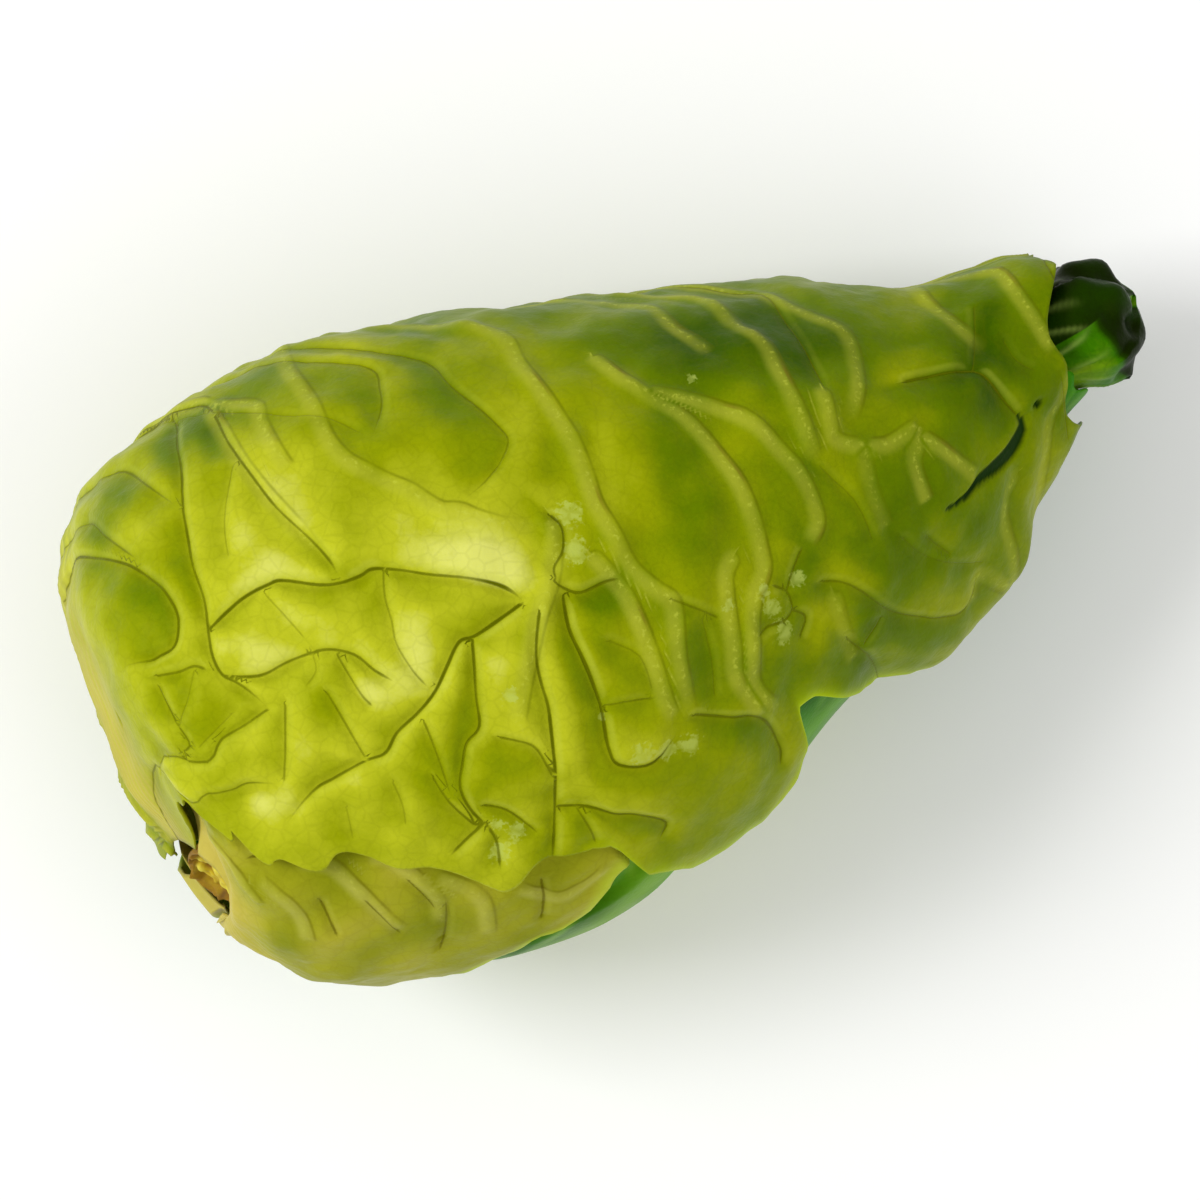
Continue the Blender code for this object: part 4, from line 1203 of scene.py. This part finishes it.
# share of the oval's size, and height along the stem's axis
profile = np.array([(0.0, -2.0), (0.25, -1.9), (0.45, -1.7), (0.62, -1.6), (0.74, -1.2), (0.80, -0.5),
                    (0.86, -0.1), (0.93, 0.0), (0.98, -0.4), (1.0, -0.9), (1.0, -3.0), (1.0, -5.2),
                    (0.9, -6.0), (0.0, -6.0)])
out, along = curve_through(profile, np.linspace(0, len(profile) - 1, RINGS)).T
out = np.clip(out, 0, 1.0)
turn = np.linspace(0, 2 * np.pi, RING_POINTS, endpoint=False)
oval = np.cos(turn)[:, None] * side * HALF_WIDTH + np.sin(turn)[:, None] * up * HALF_HEIGHT
rings = STEM_MIDDLE + out[1:-1, None, None] * oval + along[1:-1, None, None] * STEM_AXIS
flat_rings = rings.reshape(-1, 3)
face = ((along[1:-1] > -2.2) & (out[1:-1] < 0.9))[:, None] * np.ones(len(turn))
rough = (0.5 * swelling(flat_rings, 5, 81) + 0.25 * swelling(flat_rings, 2, 82)).reshape(face.shape)
rings = rings + (rough * face * 0.8)[..., None] * STEM_AXIS
poles = np.stack([STEM_MIDDLE + along[0] * STEM_AXIS, STEM_MIDDLE + along[-1] * STEM_AXIS])
pith = (ease(0.82, 0.66, out[1:-1]) * (along[1:-1] > -2.5))[:, None] * np.ones(len(turn))
stem = make_object(
    "stem_fine", np.concatenate([rings.reshape(-1, 3), poles]), turned_faces(*rings.shape[:2]),
    {"pith": np.append(pith.ravel(), [1.0, 0.0]), "rough": np.append(rough.ravel(), [0.0, 0.0])})
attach(stem, "root")
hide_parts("stem")


def stem_material():
    """Brown wall and yellow pith, with darker hollows and streaks along the fibres."""
    material = bpy.data.materials.new("stem")
    material.use_nodes = True
    tree = material.node_tree
    shader = tree.nodes["Principled BSDF"]
    start = Link(tree)
    place_on = start.node("ShaderNodeTexCoord", output=3)
    cloud = start.node("ShaderNodeTexNoise", None,
                       {"Vector": place_on, "Scale": 260.0, "Detail": 5.0, "Roughness": 0.6})
    wall = cloud.ramp((0.2, srgb(92, 62, 0)), (0.55, srgb(142, 106, 8)), (0.85, srgb(174, 146, 30)))
    pith_colour = (cloud + start.mark("rough") * 0.35).ramp(
        (0.15, srgb(134, 96, 0)), (0.5, srgb(190, 164, 20)), (0.9, srgb(218, 206, 70)))
    colour = start.mark("pith").between(wall, pith_colour)
    tree.links.new(colour.socket, shader.inputs["Base Color"])
    tree.links.new((0.5 + cloud * 0.3).socket, shader.inputs["Roughness"])
    bump = start.node("ShaderNodeBump", None, {"Strength": 0.5, "Distance": 0.0006, "Height": cloud})
    tree.links.new(bump.socket, shader.inputs["Normal"])
    shader.inputs["Subsurface Weight"].default_value = 0.15
    shader.inputs["Subsurface Radius"].default_value = (1.0, 0.8, 0.3)
    shader.inputs["Subsurface Scale"].default_value = 0.001
    shader.inputs["Specular IOR Level"].default_value = 0.2
    return material


stem.data.materials.append(stem_material())
print("stem", len(stem.data.polygons), "faces")

# %% [markdown]
# ## Floor and light
#
# The photograph is cut out on white, so the floor is a plain near-white sheet. Most of the light
# comes softly from all round. One lamp on the left of the picture brings out the relief, and a
# larger, weaker one at the lower right keeps the shadows open.

# %% Floor, lamps and world
FLOOR_HALF = 4.0         # metres
NEAR_WHITE = (0.96, 0.96, 0.95, 1)
SKY_STRENGTH = 0.64
floor_mesh = bpy.data.meshes.new("floor")
corners = [(-FLOOR_HALF, -FLOOR_HALF, 0), (FLOOR_HALF, -FLOOR_HALF, 0),
           (FLOOR_HALF, FLOOR_HALF, 0), (-FLOOR_HALF, FLOOR_HALF, 0)]
floor_mesh.from_pydata(corners, [], [(0, 1, 2, 3)])
floor = bpy.data.objects.new("floor", floor_mesh)
bpy.context.scene.collection.objects.link(floor)
paint = bpy.data.materials.new("floor")
paint.use_nodes = True
paper = paint.node_tree.nodes["Principled BSDF"]
paper.inputs["Base Color"].default_value = NEAR_WHITE
paper.inputs["Roughness"].default_value = 0.9
floor_mesh.materials.append(paint)


def lamp(name, place_at, size, power):
    """A square lamp that looks at the head, with its side in metres and its power in watts."""
    data = bpy.data.lights.new(name, "AREA")
    data.size, data.energy = size, power
    made = bpy.data.objects.new(name, data)
    made.location = place_at
    made.rotation_euler = (-made.location).to_track_quat("-Z", "Y").to_euler()
    bpy.context.scene.collection.objects.link(made)


lamp("key", (-1.5, 0.9, 1.8), size=1.0, power=34)
lamp("fill", (1.1, -1.4, 2.0), size=2.0, power=12)
world = bpy.data.worlds.new("world")
world.use_nodes = True
world.node_tree.nodes["Background"].inputs["Color"].default_value = (1, 1, 1, 1)
world.node_tree.nodes["Background"].inputs["Strength"].default_value = SKY_STRENGTH
bpy.context.scene.world = world
bpy.context.scene.view_settings.view_transform = "Standard"
